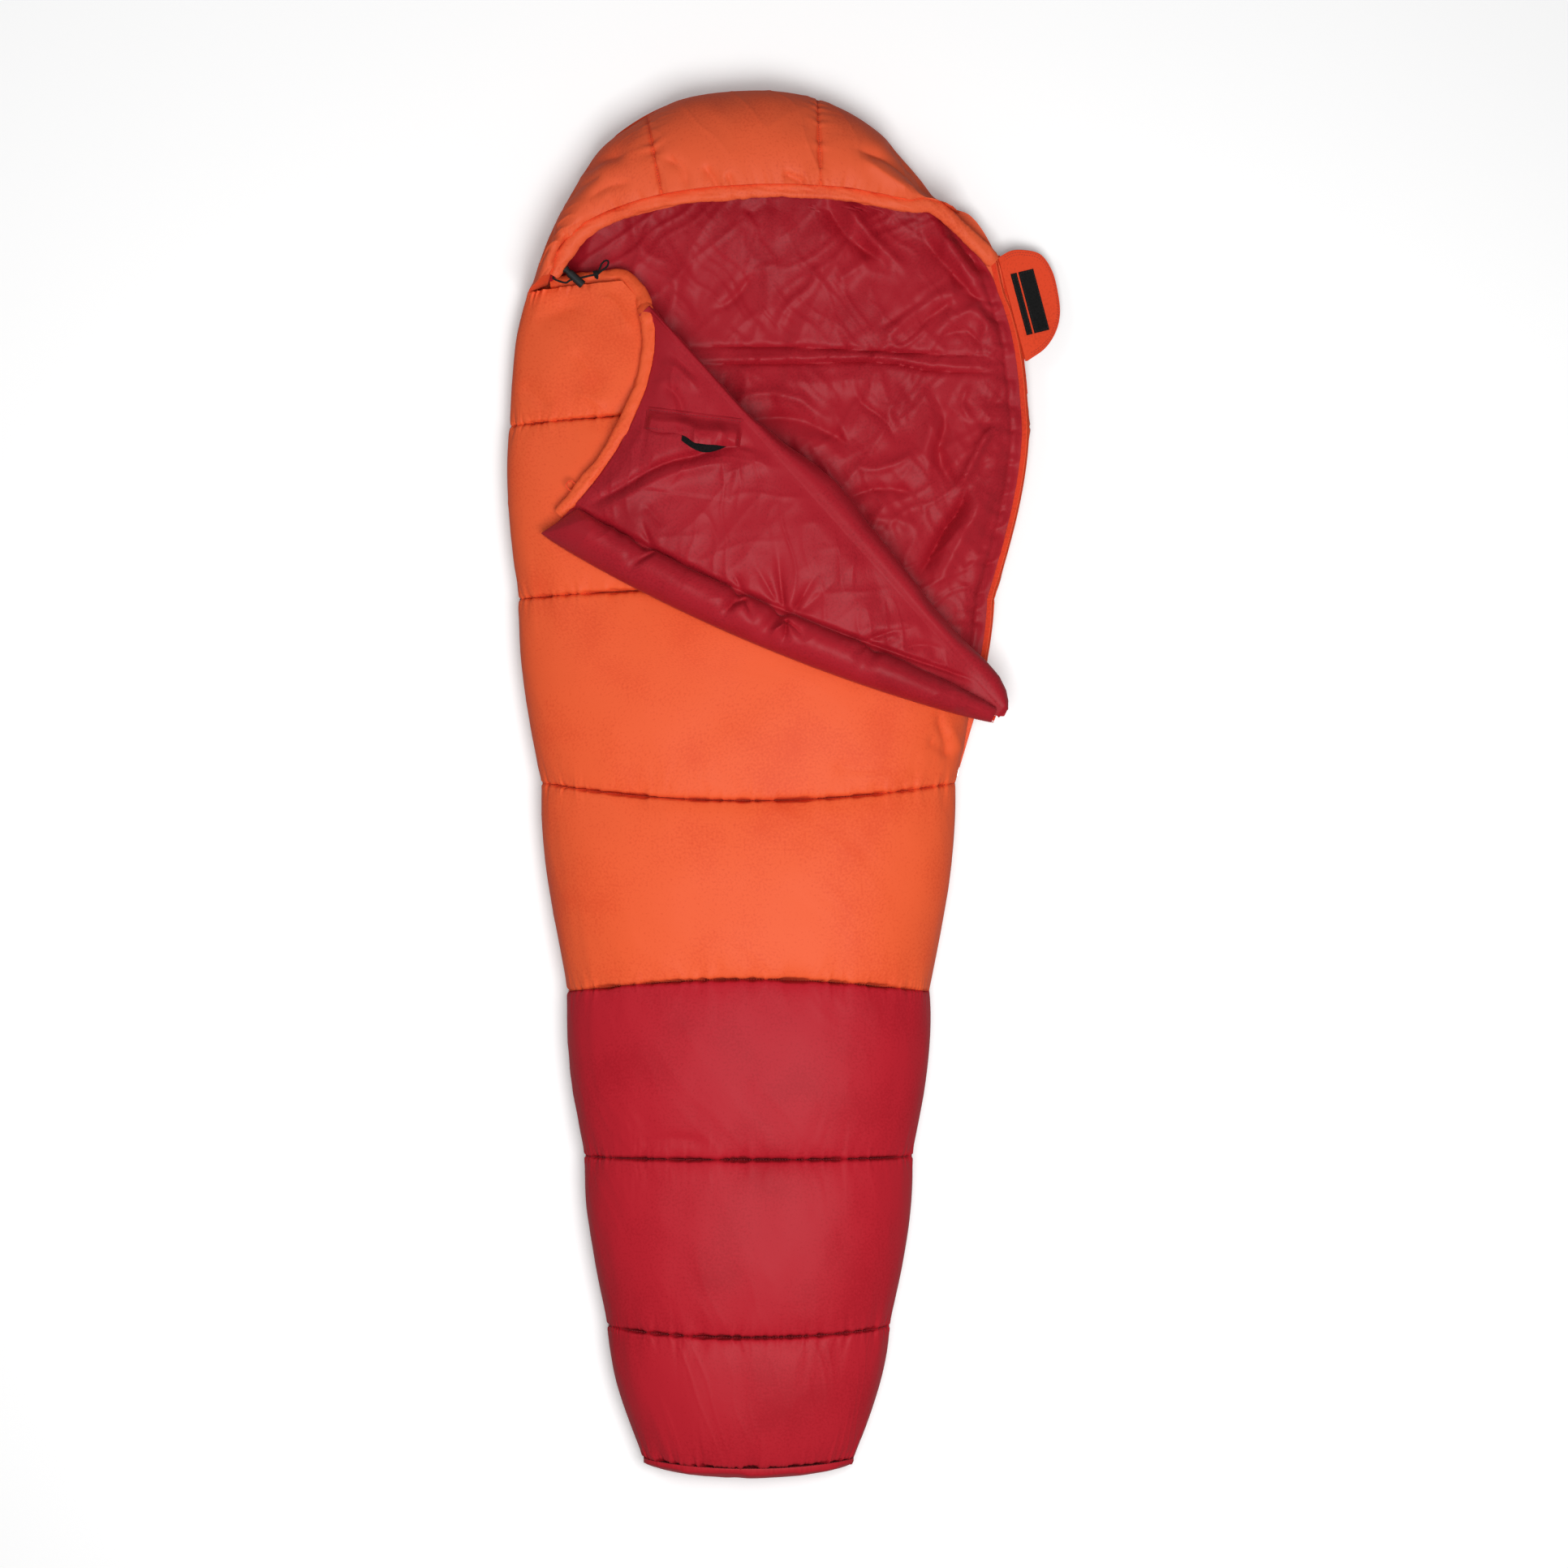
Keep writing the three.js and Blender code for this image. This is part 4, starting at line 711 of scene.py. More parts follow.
@dataclass(frozen=True)
class Chamber:
    """One quilted channel: a sleeve of filled cloth round the bag, open along the fold or the zip side."""

    index: int
    columns: int = 520
    rows: int = 52
    front: tuple[float, ...] = (0.33, 0.42, 0.5, 0.5, 0.5, 0.5, 0.5)  # share of the way round that is the front
    front_columns: float = 0.74  # share of the columns
    soft_relief: float = 2.2
    ruching: float = 3.4
    girth: float = 320.0  # mm of cloth for each radian of the turn, about
    seam_deep: float = 2.9
    folds: tuple[Crease, ...] = (
        Crease((-235, 759, -207, 744, -191, 715, -186, 690), 9, 4), Crease((-279, 671, -247, 646, -222, 596), 13, -4),
        Crease((-354, 621, -330, 600, -304, 577), 11, -3), Crease((-335, 709, -291, 734, -250, 740), 15, -4),
        Crease((-270, 610, -235, 590, -215, 565), 9, 3), Crease((290, 116, 302, 80, 317, 41), 7, -7),
        Crease((272, 72, 295, 58, 317, 41), 6, -6), Crease((304, 20, 275, 19, 240, 12), 8, -3),
        Crease((309, 90, 322, 66, 326, 45), 6, 4), Crease((-150, -320, -90, -300, -20, -290), 12, -2),
        Crease((60, 240, 140, 200, 210, 150), 26, -3), Crease((-180, -560, -120, -545, -60, -552), 9, -3),
        Crease((120, 30, 190, 24, 250, 28), 10, -2.5),
    )

    @property
    def folded(self) -> bool:
        """Whether its front ends at the fold line."""
        return self.index < 3

    def _y(self, share: Grid, v: Grid) -> Grid:
        """Y of the bowed row at v, where the turn's cosine is share."""
        return PLAN.at(PLAN.seam_y, self.index, v) + PLAN.at(PLAN.bow, self.index, v) * (1 - share**2)

    def _shares(self, u: Grid, v: Grid, inside: bool) -> tuple[Grid, Grid]:
        """Turn and cosine for each place."""
        i = self.index
        y = PLAN.at(PLAN.seam_y, i, v)
        bow = PLAN.at(PLAN.bow, i, v)
        half = PLAN.at(PLAN.half, i, v) + (-PLAN.wall if inside else PLAN.swell(v))
        start = PLAN.end_turn(half, y, bow) if self.folded else np.zeros_like(y)
        turn = start + (2 * math.pi - start) * u
        return turn, np.cos(turn)

    def outside(self, u: Grid, v: Grid) -> Grid:
        """Outside of the sleeve: u from the fold or zip side over the front, then under the back."""
        i = self.index
        turn, share = self._shares(u, v, False)
        top = turn <= math.pi
        swell = PLAN.swell(v)
        half = PLAN.at(PLAN.half, i, v) + swell
        right = half + PLAN.at(PLAN.spread, i, v)
        crown = PLAN.at(PLAN.crown, i, v)
        dip = PLAN.dip * (1 - puff(v))
        if i == 0:
            dip = dip * ease(v, 0.0, 0.3)
        rim = PLAN.level - 8 * (PLAN.at(PLAN.spread, i, v) / 60)
        z_top = PLAN.level + (crown - dip - PLAN.level) * dome(share)
        floor = np.where(share > 0, rim, PLAN.level)
        z_low = floor * (1 - dome(share, 4.0)) + PLAN.lift * (1 - puff(v)) * dome(share, 4.0)
        x = np.where(top | (share < 0), half, right) * share
        return np.stack([x, self._y(share, v), np.where(top, z_top, z_low)], -1)

    def inside(self, u: Grid, v: Grid) -> Grid:
        """Inside of the sleeve, column for column with the outside."""
        i = self.index
        turn, share = self._shares(u, v, True)
        top = turn <= math.pi
        inner = PLAN.at(PLAN.half, i, v) - PLAN.wall
        right = inner + PLAN.at(PLAN.lining, i, v)
        if self.folded:
            rim = PLAN.at(PLAN.half, i, v) + PLAN.swell(v) + PLAN.at(PLAN.spread, i, v)
            right = lerp(right, rim, ease(share, 0.7, 1.0))
        high = np.maximum(PLAN.level + PLAN.loft / 4, PLAN.at(PLAN.crown, i, v) - PLAN.loft)
        z_top = PLAN.level + (high - PLAN.level) * dome(share)
        z_low = PLAN.level + PLAN.at(PLAN.rise, i, v) * ease(1 - np.abs(share), 0, 0.5)
        x = np.where(top | (share < 0), inner, right) * share
        return np.stack([x, self._y(share, v), np.where(top, z_top, z_low)], -1)

    def _relief(self, places: Grid, turn: Grid, v: Grid) -> Grid:
        """Height of the cloth's wrinkles over the smooth pillow; both sides of a seam are gathered alike."""
        i = self.index
        run = turn * self.girth
        long = PLAN.seam_y[i] - PLAN.seam_y[i + 1]
        gather = np.zeros_like(v)
        for seam, away in ((i, v * long), (i + 1, (1 - v) * long)):
            drawn = 2.2 if seam == 7 else 1.0  # the foot's seam is drawn in more
            gather = gather + self.ruching * (
                0.9 * puckers(run, away, 9, 7.5, seam) + 0.9 * drawn * puckers(run, away, 17, 15, seam + 40)
                + 0.8 * puckers(run, away, 44, 38, seam + 80)
            )
            if seam > 0:
                gather = gather - self.seam_deep * np.exp(-((away / 2.8) ** 2))
        rolling = self.soft_relief * soft(run, places[..., 1], 130, 31 * i + 4)
        faint = 0.9 * creases(run, places[..., 1], 8 + 9 * i, 190, 30, 31 * i + 5, 3.0) * noise(
            run / 170, places[..., 1] / 130, 31 * i + 6
        )
        own = fold_relief(self.folds, places[..., 0], places[..., 1]) * (places[..., 2] > PLAN.level)
        return gather + (rolling + faint + own) * ease(np.minimum(v, 1 - v) * long, 0, 30)

    def make(self) -> bpy.types.Object:
        """The sleeve as one closed padded body."""
        t = np.linspace(0, 1, self.rows + 1)
        t = lerp(t, (1 - np.cos(math.pi * t)) / 2, 0.75)
        steps = np.linspace(0, 1, self.columns + 1)  # most of them go to the front, which shows
        across = np.interp(steps, [0, self.front_columns, 1], [0, self.front[self.index], 1])
        u, v = np.meshgrid(across if self.folded else across[:-1], t)
        outer = self.outside(u, v)
        inner = self.inside(u, v)
        normal = surface_normals(outer, not self.folded)
        centre = np.array([0, float(np.mean(outer[..., 1])), PLAN.level + 20])
        outward = np.sign(np.einsum("ijk,ijk->ij", normal, outer - centre).sum())
        lift = self._relief(outer, self._shares(u, v, False)[0], v)
        if not self.folded:
            lift = lift * ease(np.minimum(u, 1 - u), 0, 0.02)
        lift = np.where(outer[..., 2] < 14, np.minimum(lift, 0) * 0.3, lift)
        outer = outer + normal * outward * lift[..., None]
        outer[..., 2] = np.maximum(outer[..., 2], 0.0)
        overlap = 0.35  # the sleeves are sewn into each other
        outer[0, :, 1] += overlap
        outer[-1, :, 1] -= overlap
        return closed_pad(f"chamber_{self.index + 1}", outer, inner, wrap=not self.folded)


class Body:
    """The bag's seven sleeves, the end cap and the cross seams' stitches."""

    def __init__(self, dresser: Dresser) -> None:
        """Keeps the dresser for the finishes."""
        self.dresser = dresser

    def build(self) -> None:
        """Makes and dresses the sleeves."""
        for i in range(7):
            finish, slot = (ORANGE_SHELL, "orange_shell") if i < 4 else (RED_SHELL, "red_shell")
            piece = Chamber(i).make()
            nodes = (f"back_chamber_{i + 1}", f"front_chamber_{i + 1}")
            self.dresser.dress(piece, finish, slot=slot, replaced=nodes, fill=0.8)
        self._end_cap()
        self._seam_stitches()

    def _end_cap(self) -> None:
        """The foot's end cap, drawn up in small tucks along its seam."""

        def cap(u: Grid, v: Grid, outside: bool) -> Grid:
            share = -np.cos(math.pi * u)
            round_share = np.sqrt(np.maximum(0, 1 - share**2))
            low = 30 * (1 - dome(share, 4.0)) + 4 * dome(share, 4.0)
            high = PLAN.level + (PLAN.crown[-1] - PLAN.dip - PLAN.level) * dome(share)
            swell = 0.0
            if outside:
                swell = 6 + 13 * puff(v) * round_share
                swell = swell + 6 * puckers(u * 330, v * 90, 22, 15, 71)
                swell = swell + 6 * puckers(u * 330, (1 - v) * 90, 22, 14, 72)
            y = PLAN.seam_y[-1] + PLAN.bow[-1] * (1 - share**2) - 0.15 - swell
            return np.stack([PLAN.half[-1] * share, y, lerp(low, high, v)], -1)

        u, v = share_grid(121, 41)
        piece = closed_pad("foot_cap", cap(u, v, True), cap(u, v, False))
        self.dresser.dress(piece, RED_SHELL, slot="red_shell", replaced=("foot_end_cap",), fill=0.6)

    def _seam_stitches(self) -> None:
        """A row of stitches in each cross seam, round the front."""
        u, v = np.meshgrid(np.linspace(0.004, 0.5, 240), [1.0])
        for k in range(1, 8):
            line = Chamber(k - 1).outside(u, v)[0]
            line = line[line[:, 2] > 50]  # the rows that show, above the bag's side
            line[:, 2] -= 3.6  # into the seam's groove
            piece = stitches(f"seam_{k}_stitches", resample(line, 300))
            finish = STITCH_ORANGE if k < 5 else STITCH_RED
            self.dresser.dress(piece, finish, slot="orange_shell" if k < 5 else "red_shell")


# ---------------------------------------------------------------------------
# Hood


@dataclass
class Hood:
    """The hood: a padded back, three crown panels in one shell, and its lining."""

    dresser: Dresser
    top_y: float = 1075
    shoulder_y: float = 1008
    shoulder_half: float = 205
    neck_left: float = 340
    neck_right: float = 398
    neck_y: float = 762
    neck_bow: float = 22
    girth: float = 900  # mm of cloth round the face
    height: float = 190  # mm of cloth from the rim to the face
    seams: tuple[float, float] = (0.34, 0.71)  # shares of the way round the face
    rim: Grid = field(init=False)
    face: Grid = field(init=False)
    folds: tuple[Crease, ...] = (
        Crease((-264, 943, -229, 965, -182, 972), 12, -6), Crease((-291, 903, -259, 926, -222, 941), 10, -4),
        Crease((-72, 952, -53, 928, -41, 900), 7, -4), Crease((-34, 940, -28, 928, -20, 908), 6, -3),
        Crease((51, 939, 68, 932, 92, 920), 6, -4), Crease((156, 980, 231, 960, 296, 895), 9, -7),
        Crease((213, 998, 235, 980, 262, 948), 7, -4), Crease((-135, 965, -103, 947, -91, 910), 8, -4),
        Crease((-329, 805, -314, 834, -291, 865), 7, -6), Crease((-347, 766, -335, 796, -319, 834), 8, -5),
        Crease((-276, 850, -291, 821, -299, 792), 6, -6), Crease((-310, 790, -303, 820, -285, 850), 7, 5),
        Crease((170, 965, 215, 935, 262, 905), 9, 4), Crease((-250, 900, -215, 920, -175, 925), 8, -3),
    )

    def __post_init__(self) -> None:
        """Works out the rim on the floor plan and the edge over the face."""
        self.rim_left = smooth_line(
            [(-340, 762, 0), (-312, 843.6, 0), (-281, 905.7, 0), (-237.3, 975, 0), (-205, 1008, 0)], 200
        )
        self.rim_right = smooth_line(
            [(398, 762, 0), (385.3, 816.4, 0), (343.1, 883, 0), (300, 898, 0), (262, 943.1, 0), (205, 1008, 0)], 200
        )
        crown = np.array([self._crown(t) for t in (0.2, 0.35, 0.5, 0.65, 0.8)])
        left = resample(self.rim_left, 9)[:-1]
        right = resample(self.rim_right, 9)[3:][::-1]
        self.rim = smooth_line(np.concatenate([left, crown, right]), 600)
        self.face = smooth_line(
            [
                (-310, 790, 104), (-284, 833.2, 104), (-258, 862, 113.2), (-152, 903, 138.5), (0, 921, 150),
                (152, 917.4, 138.4), (240.8, 903, 115.2), (296, 902, 92),
            ],
            600,
        )

    def _crown(self, u: float) -> tuple[float, float, float]:
        """A place on the rim's crown."""
        share = 2 * u - 1
        return (self.shoulder_half * share, self.top_y - (self.top_y - self.shoulder_y) * abs(share) ** 2.4, 0.0)

    @property
    def zip_top(self) -> Grid:
        """Where the zip's top is sewn to the rim."""
        return line_at(self.rim_right, np.array([1 / 6]))[0]

    def plan(self, u: Grid, v: Grid) -> Grid:
        """The back pad's plan: u across, v from the neck to the crown."""
        share = 2 * u - 1
        half = np.where(share < 0, self.neck_left, self.neck_right)
        x = half * share
        near = np.stack([x, self.neck_y + self.neck_bow * (1 - (x / half) ** 2) + 0.15, 0 * x], -1)
        far = np.stack(
            [self.shoulder_half * share, self.top_y - (self.top_y - self.shoulder_y) * np.abs(share) ** 2.4, 0 * x], -1
        )
        left, right = line_at(self.rim_left, v), line_at(self.rim_right, v)
        corner = lerp(
            lerp(self.rim_left[0], self.rim_right[0], u[..., None]),
            lerp(self.rim_left[-1], self.rim_right[-1], u[..., None]),
            v[..., None],
        )
        return lerp(near, far, v[..., None]) + lerp(left, right, u[..., None]) - corner

    def shell(self, t: Grid, v: Grid, depth: float = 0.0) -> Grid:
        """The crown's shell: t round the face, v from the rim up to the face edge, depth in from outside."""
        rim_t = np.interp(t, [0, *self.seams, 1], [0, 0.365, 0.66, 0.97])
        rim, face = line_at(self.rim, rim_t), line_at(self.face, t)
        wide = np.hypot(rim[..., 0] - face[..., 0], rim[..., 1] - face[..., 1])
        steep = 1 - ease(wide, 0, 60)
        centre = np.array([0, lerp(self.neck_y, self.top_y, 0.4), 0])
        low, high = rim, face
        if depth > 0:
            out = rim - centre
            low = rim - out / np.linalg.norm(out[..., :2], axis=-1, keepdims=True) * (8 + depth)
            out = (face - centre) * [1, 1, 0]
            high = face - out / np.linalg.norm(out, axis=-1, keepdims=True) * (depth * steep)[..., None]
        base = PLAN.level + 0.15
        seam = np.minimum.reduce([np.abs(t - s) for s in self.seams]) * self.girth
        across = 1 - 0.85 * np.exp(-(seam / 20.0))
        swell = 0.0 if depth > 0 else 13 * across * np.sin(math.pi * np.minimum(1, v * 0.92)) ** 0.8
        place = lerp(low, high, (1 - np.cos(v * math.pi / 2))[..., None])
        drop = depth * (1 - steep)
        z = base + (face[..., 2] - drop - base) * np.sin(v * math.pi / 2) + swell
        return np.concatenate([place[..., :2], z[..., None]], -1)

    def build(self) -> None:
        """Makes and dresses the hood."""
        self._back()
        self._crown_shell()
        self._lining()

    def _back(self) -> None:
        """The pad under the head."""
        u, v = share_grid(101, 51)
        top = self.plan(u, v)
        low = top.copy()
        edge = 1 - (1 - np.abs(2 * u - 1) ** 6) * (1 - v**6)  # 0 over the middle, 1 at the rim
        lift = 9 * (1 - puff(lerp(0.5, 1.0, 1 - np.minimum(1, 3 * v)))) * (1 - edge)
        low[..., 2] = np.maximum(0, np.maximum(34 * edge**2, lift) - 1.6) + 0.4 * (1 - edge) * noise(u * 9, v * 6, 3)
        low[..., 2] = np.where(edge < 0.3, np.maximum(0, low[..., 2] - 0.4), low[..., 2])
        top[..., 2] = PLAN.level - 0.15
        piece = closed_pad("hood_back", top, low)
        self.dresser.dress(piece, HOOD_SHELL, slot="hood_shell", replaced=("hood_back_pad",), fill=0.7)

    def _crown_shell(self) -> None:
        """The three panels, puffed between their seams and gathered along the face."""
        t, v = share_grid(421, 91)
        outer = self.shell(t, v)
        run, up = t * self.girth, v * self.height
        down = (1 - v) * self.height
        lift = 4 * puckers(run, down, 20, 13, 201) + 4 * puckers(run, down, 60, 46, 202)
        for k, share in enumerate(self.seams):
            away = np.abs(run - share * self.girth)
            lift = lift + 6 * puckers(up, away, 15, 9, 210 + k) - 3 * np.exp(-((away / 3.2) ** 2))
        lift = lift + 3.0 * soft(run, up, 110, 215) + 1.2 * creases(run, up, 60, 150, 32, 216, 3.0)
        left = ease(0.2 - t, 0, 0.18)
        lift = lift + left * 6 * (creases(run, up, 72, 130, 30, 217, 2.0) - 0.45) * ease(v, 0.1, 0.5)
        lift = lift + 1.4 * fold_relief(self.folds, outer[..., 0], outer[..., 1])
        lift = lift * ease(v, 0.0, 0.12)
        outer = outer + upward_normals(outer) * lift[..., None]
        inner = self.shell(t, v, 22.0)
        piece = closed_pad("hood_crown", outer, inner)
        nodes = ("hood_left_panel", "hood_centre_panel", "hood_right_panel")
        self.dresser.dress(piece, HOOD_SHELL, slot="hood_shell", replaced=nodes, fill=0.75)
        for k, share in enumerate(self.seams):
            line = self.shell(np.full((1, 60), share), np.linspace(0.1, 0.97, 60)[None, :])[0]
            line[:, 2] += 0.4
            self.dresser.dress(stitches(f"hood_seam_{k + 1}_stitches", line), STITCH_ORANGE, slot="hood_shell")

    def _lining(self) -> None:
        """The crown's lining, loose and wrinkled."""
        t, v = np.meshgrid(np.linspace(0.004, 0.996, 171), np.linspace(0, 1, 41))
        outer = self.shell(t, v, 22.8)
        inner = self.shell(t, v, 25.0)
        lift = 6 * creases(t * 800, v * 180, 70, 120, 26, 231) + 3 * creases(t * 800, v * 180, 20, 90, 18, 232)
        sag = upward_normals(inner) * (lift * ease(v, 0, 0.15) * ease(1 - v, 0, 0.1))[..., None]
        piece = closed_pad("hood_lining", outer, inner - sag)
        self.dresser.dress(piece, LINER, slot="liner", replaced=("hood_liner",))


# ---------------------------------------------------------------------------
# Linings of the body


@dataclass
class BodyLining:
    """The loose lining over the back, and the one under the front."""

    dresser: Dresser
    hood: Hood
    folds: tuple[Crease, ...] = (
        Crease((-130, 676, 12, 678, 102, 676, 292, 666, 410, 663), 3.5, -6),
        Crease((-110, 650, 60, 652, 220, 653, 273, 642, 420, 637), 4.5, -8),
        Crease((-110, 657, 60, 659, 220, 660, 273, 650, 420, 645), 8, 6),
        Crease((-12, 560, 60, 568, 113, 548, 181, 516), 13, -12), Crease((-30, 596, 20, 606, 74, 597, 110, 574), 10, 7),
        Crease((37, 632, 98, 621, 172, 626, 222, 608), 17, 5),
        Crease((286, 608, 305, 560, 295, 518, 305, 480, 327, 457), 12, -11),
        Crease((266, 621, 282, 565, 275, 508, 285, 471), 13, 8),
        Crease((398, 545, 374, 547, 359, 522, 340, 487, 327, 457), 9, 15),
        Crease((337, 468, 327, 426, 305, 396, 282, 353, 259, 314), 9, -17),
        Crease((357, 471, 351, 421, 327, 378, 305, 333, 285, 289), 15, 12),
        Crease((143, 438, 196, 457, 262, 452), 10, -10), Crease((160, 496, 190, 487, 236, 500, 262, 520), 8, 7),
        Crease((172, 408, 235, 408, 272, 389), 13, 6), Crease((404, 621, 379, 583, 364, 533), 12, -8),
        Crease((398, 458, 375, 408, 354, 346), 13, -8), Crease((387, 396, 365, 333, 342, 277), 12, 7),
        Crease((247, 884, 291, 821, 337, 769, 401, 706, 424, 655), 11, -12),
        Crease((279, 881, 320, 824, 366, 771, 416, 714), 15, 9),
        Crease((116, 913, 135, 874, 157, 844, 185, 824, 211, 809), 11, -11),
        Crease((135, 919, 162, 881, 191, 846, 222, 821), 11, 8), Crease((246, 795, 210, 826, 180, 846), 9, 6),
        Crease((335, 774, 286, 751, 247, 727, 228, 706, 195, 684), 12, 9),
        Crease((322, 749, 285, 727, 254, 699), 10, -7), Crease((195, 700, 237, 727, 285, 756), 9, -6),
        Crease((131, 775, 172, 803, 195, 821), 12, 6), Crease((-9, 881, 16, 896, 34, 911), 13, -6),
        Crease((-53, 777, -22, 740, 3, 694), 15, 4), Crease((310, 709, 347, 734, 398, 684), 11, 7),
        Crease((285, 690, 335, 702, 372, 671), 9, -6), Crease((-191, 834, -153, 796, -91, 771), 18, 6),
        Crease((-66, 621, -22, 608, 22, 613), 14, -5), Crease((40, 700, 61, 742, 96, 771, 112, 812), 6, 6),
        Crease((160, 622, 176, 590, 214, 560, 232, 520), 6, -6), Crease((340, 620, 331, 590, 344, 560), 5, 5),
        Crease((205, 690, 232, 676, 268, 700, 290, 735), 5, 5), Crease((-60, 730, -20, 755, 10, 800), 7, -6),
    )

    def build(self) -> None:
        """Makes and dresses both linings."""
        self._back()
        self._front()

    def _outline(self, y: Grid) -> tuple[Grid, Grid]:
        """Left and right edges of the back's lining at y."""
        half, lining, spread = (PLAN.at_y(values, y) for values in (PLAN.half, PLAN.lining, PLAN.spread))
        shut = half + lining - PLAN.wall + 1
        left = half - PLAN.wall
        right = lerp(shut, half + PLAN.swell_at(y) + spread - 11.5, ease(y, 120, 190))
        head = ease(y, 762, 850)
        rim_left, rim_right = self.hood.rim_left, self.hood.rim_right
        left = np.where(y > 762, -np.interp(y, rim_left[:, 1], rim_left[:, 0]) - lerp(PLAN.wall, 33, head), left)
        right = np.where(y > 762, np.interp(y, rim_right[:, 1], rim_right[:, 0]) - lerp(11.5, 33, head), right)
        return left, right

    def _back(self) -> None:
        """The lining that the sleeper lies on, crumpled where the bag is open."""
        down = np.concatenate([np.linspace(965, 90, 266), np.linspace(90, -1044, 24)[1:]])
        y, u = np.meshgrid(down, np.linspace(0, 1, 170), indexing="ij")
        u = lerp(u, u**0.7, ease(y, 800, 700))
        left, right = self._outline(y)
        x = lerp(-left, right, u)
        open_part = ease(y, 60, 200) * ease(x - PLAN.fold_x(y), -160, 20) * ease(965 - y, 0, 60)
        base = PLAN.level + 1.4 + PLAN.at_y(PLAN.rise, y) * ease(np.minimum(u, 1 - u), 0, 0.25)
        crumple = (
            9 * soft(x, y, 150, 400) + 5 * creases(x, y, 66, 210, 62, 401, 1.6)
            + 3 * creases(x, y, 118, 160, 40, 402, 1.8)
            + 1.2 * creases(x, y, 84, 90, 17, 403, 1.5) + 2.6 * creases(x, y, 38, 150, 26, 407, 2.6)
            + 2.2 * creases(x, y, 127, 110, 19, 408, 2.6)
        )
        side = (1 - u) * (left + right)
        away = np.abs(side - 17)
        strip = 9 * puckers(y, away, 17, 9, 405) + 9 * puckers(y, away, 44, 26, 406)
        strip = strip - 3.5 * np.exp(-((away / 3.5) ** 2))
        band = np.abs(y - 674 + 0.02 * x)
        strip = strip * ease(y, 90, 200) + 3 * puckers(x, band, 16, 10, 404)
        lift = 11 + crumple + fold_relief(self.folds, x, y)
        free = ease(np.minimum(u, 1 - u), 0, 0.06)
        lift = np.maximum(lift * free + strip * ease(side, 0, 9), 0) * open_part
        low = np.stack([x, y + 0 * u, base + lift], -1)
        piece = closed_pad("back_lining", low + upward_normals(low) * 1.2, low)
        self.dresser.dress(piece, LINER, slot="liner", replaced=("back_liner",))

    def _front(self) -> None:
        """The lining of the front, arched over the room for the sleeper."""
        rows, columns = 182, 62
        grids = []
        for i in range(7):
            v = np.linspace(0, 1, rows // 7, endpoint=i == 6)
            y = PLAN.at(PLAN.seam_y, i, v)
            bow = PLAN.at(PLAN.bow, i, v)
            inner = PLAN.at(PLAN.half, i, v) - PLAN.wall - 1.2
            turn = PLAN.end_turn(inner + 1.2, y, bow, 0.4) if i < 3 else np.zeros_like(y)
            a = lerp(turn[:, None], math.pi, np.linspace(0, 1, columns)[None, :])
            c = np.cos(a)
            crown = PLAN.at(PLAN.crown, i, v)
            high = np.maximum(PLAN.level + 11, crown - PLAN.loft) - 1.2
            z = PLAN.level + 0.15 + (high - PLAN.level)[:, None] * dome(c)
            grids.append(np.stack([inner[:, None] * c, y[:, None] + bow[:, None] * (1 - c**2), z], -1))
        top = np.concatenate(grids)
        sag = 5 * creases(top[..., 0], top[..., 1], 80, 160, 40, 411) * ease(dome(top[..., 0] / 300), 0.2, 0.8)
        low = top.copy()
        low[..., 2] -= 1.5 + np.minimum(sag, np.maximum(0, top[..., 2] - 60) * 0.5)
        piece = closed_pad("front_lining", top, low)
        self.dresser.dress(piece, LINER, slot="liner", replaced=("front_liner",))


# ---------------------------------------------------------------------------
# Drawcord channels


def ruched_tube(name: str, line: Grid, radius: float, pitch: float, depth: float, seed: int) -> bpy.types.Object:
    """A cloth tube gathered on its cord, with a fold every pitch millimetres."""
    run = run_along(line)
    even = resample(line, int(run[-1] / 1.6))
    at = np.linspace(0, run[-1], len(even))[:, None]
    turn = np.linspace(0, 2 * math.pi, 28, endpoint=False)[None, :]
    wave = noise(at / pitch + 0.9 * turn, 1.4 * np.cos(turn) + 3, seed)
    long = noise(at / (pitch * 4.2) + 0.3 * turn, 1.6 * np.sin(turn) + 5, seed + 1)
    fine = noise(at / (pitch * 0.4), 2.0 * np.cos(turn) + 9, seed + 2)
    ends = ease(np.minimum(at, run[-1] - at), -4, 9)
    flat = 1.0 / np.hypot(np.cos(turn) / 1.28, np.sin(turn) / 0.82)
    relief = 1 - depth + depth * (0.75 * wave + 1.0 * long + 0.25 * fine)
    return tube(name, even, radius * flat * relief * lerp(0.75, 1, ends), 28)


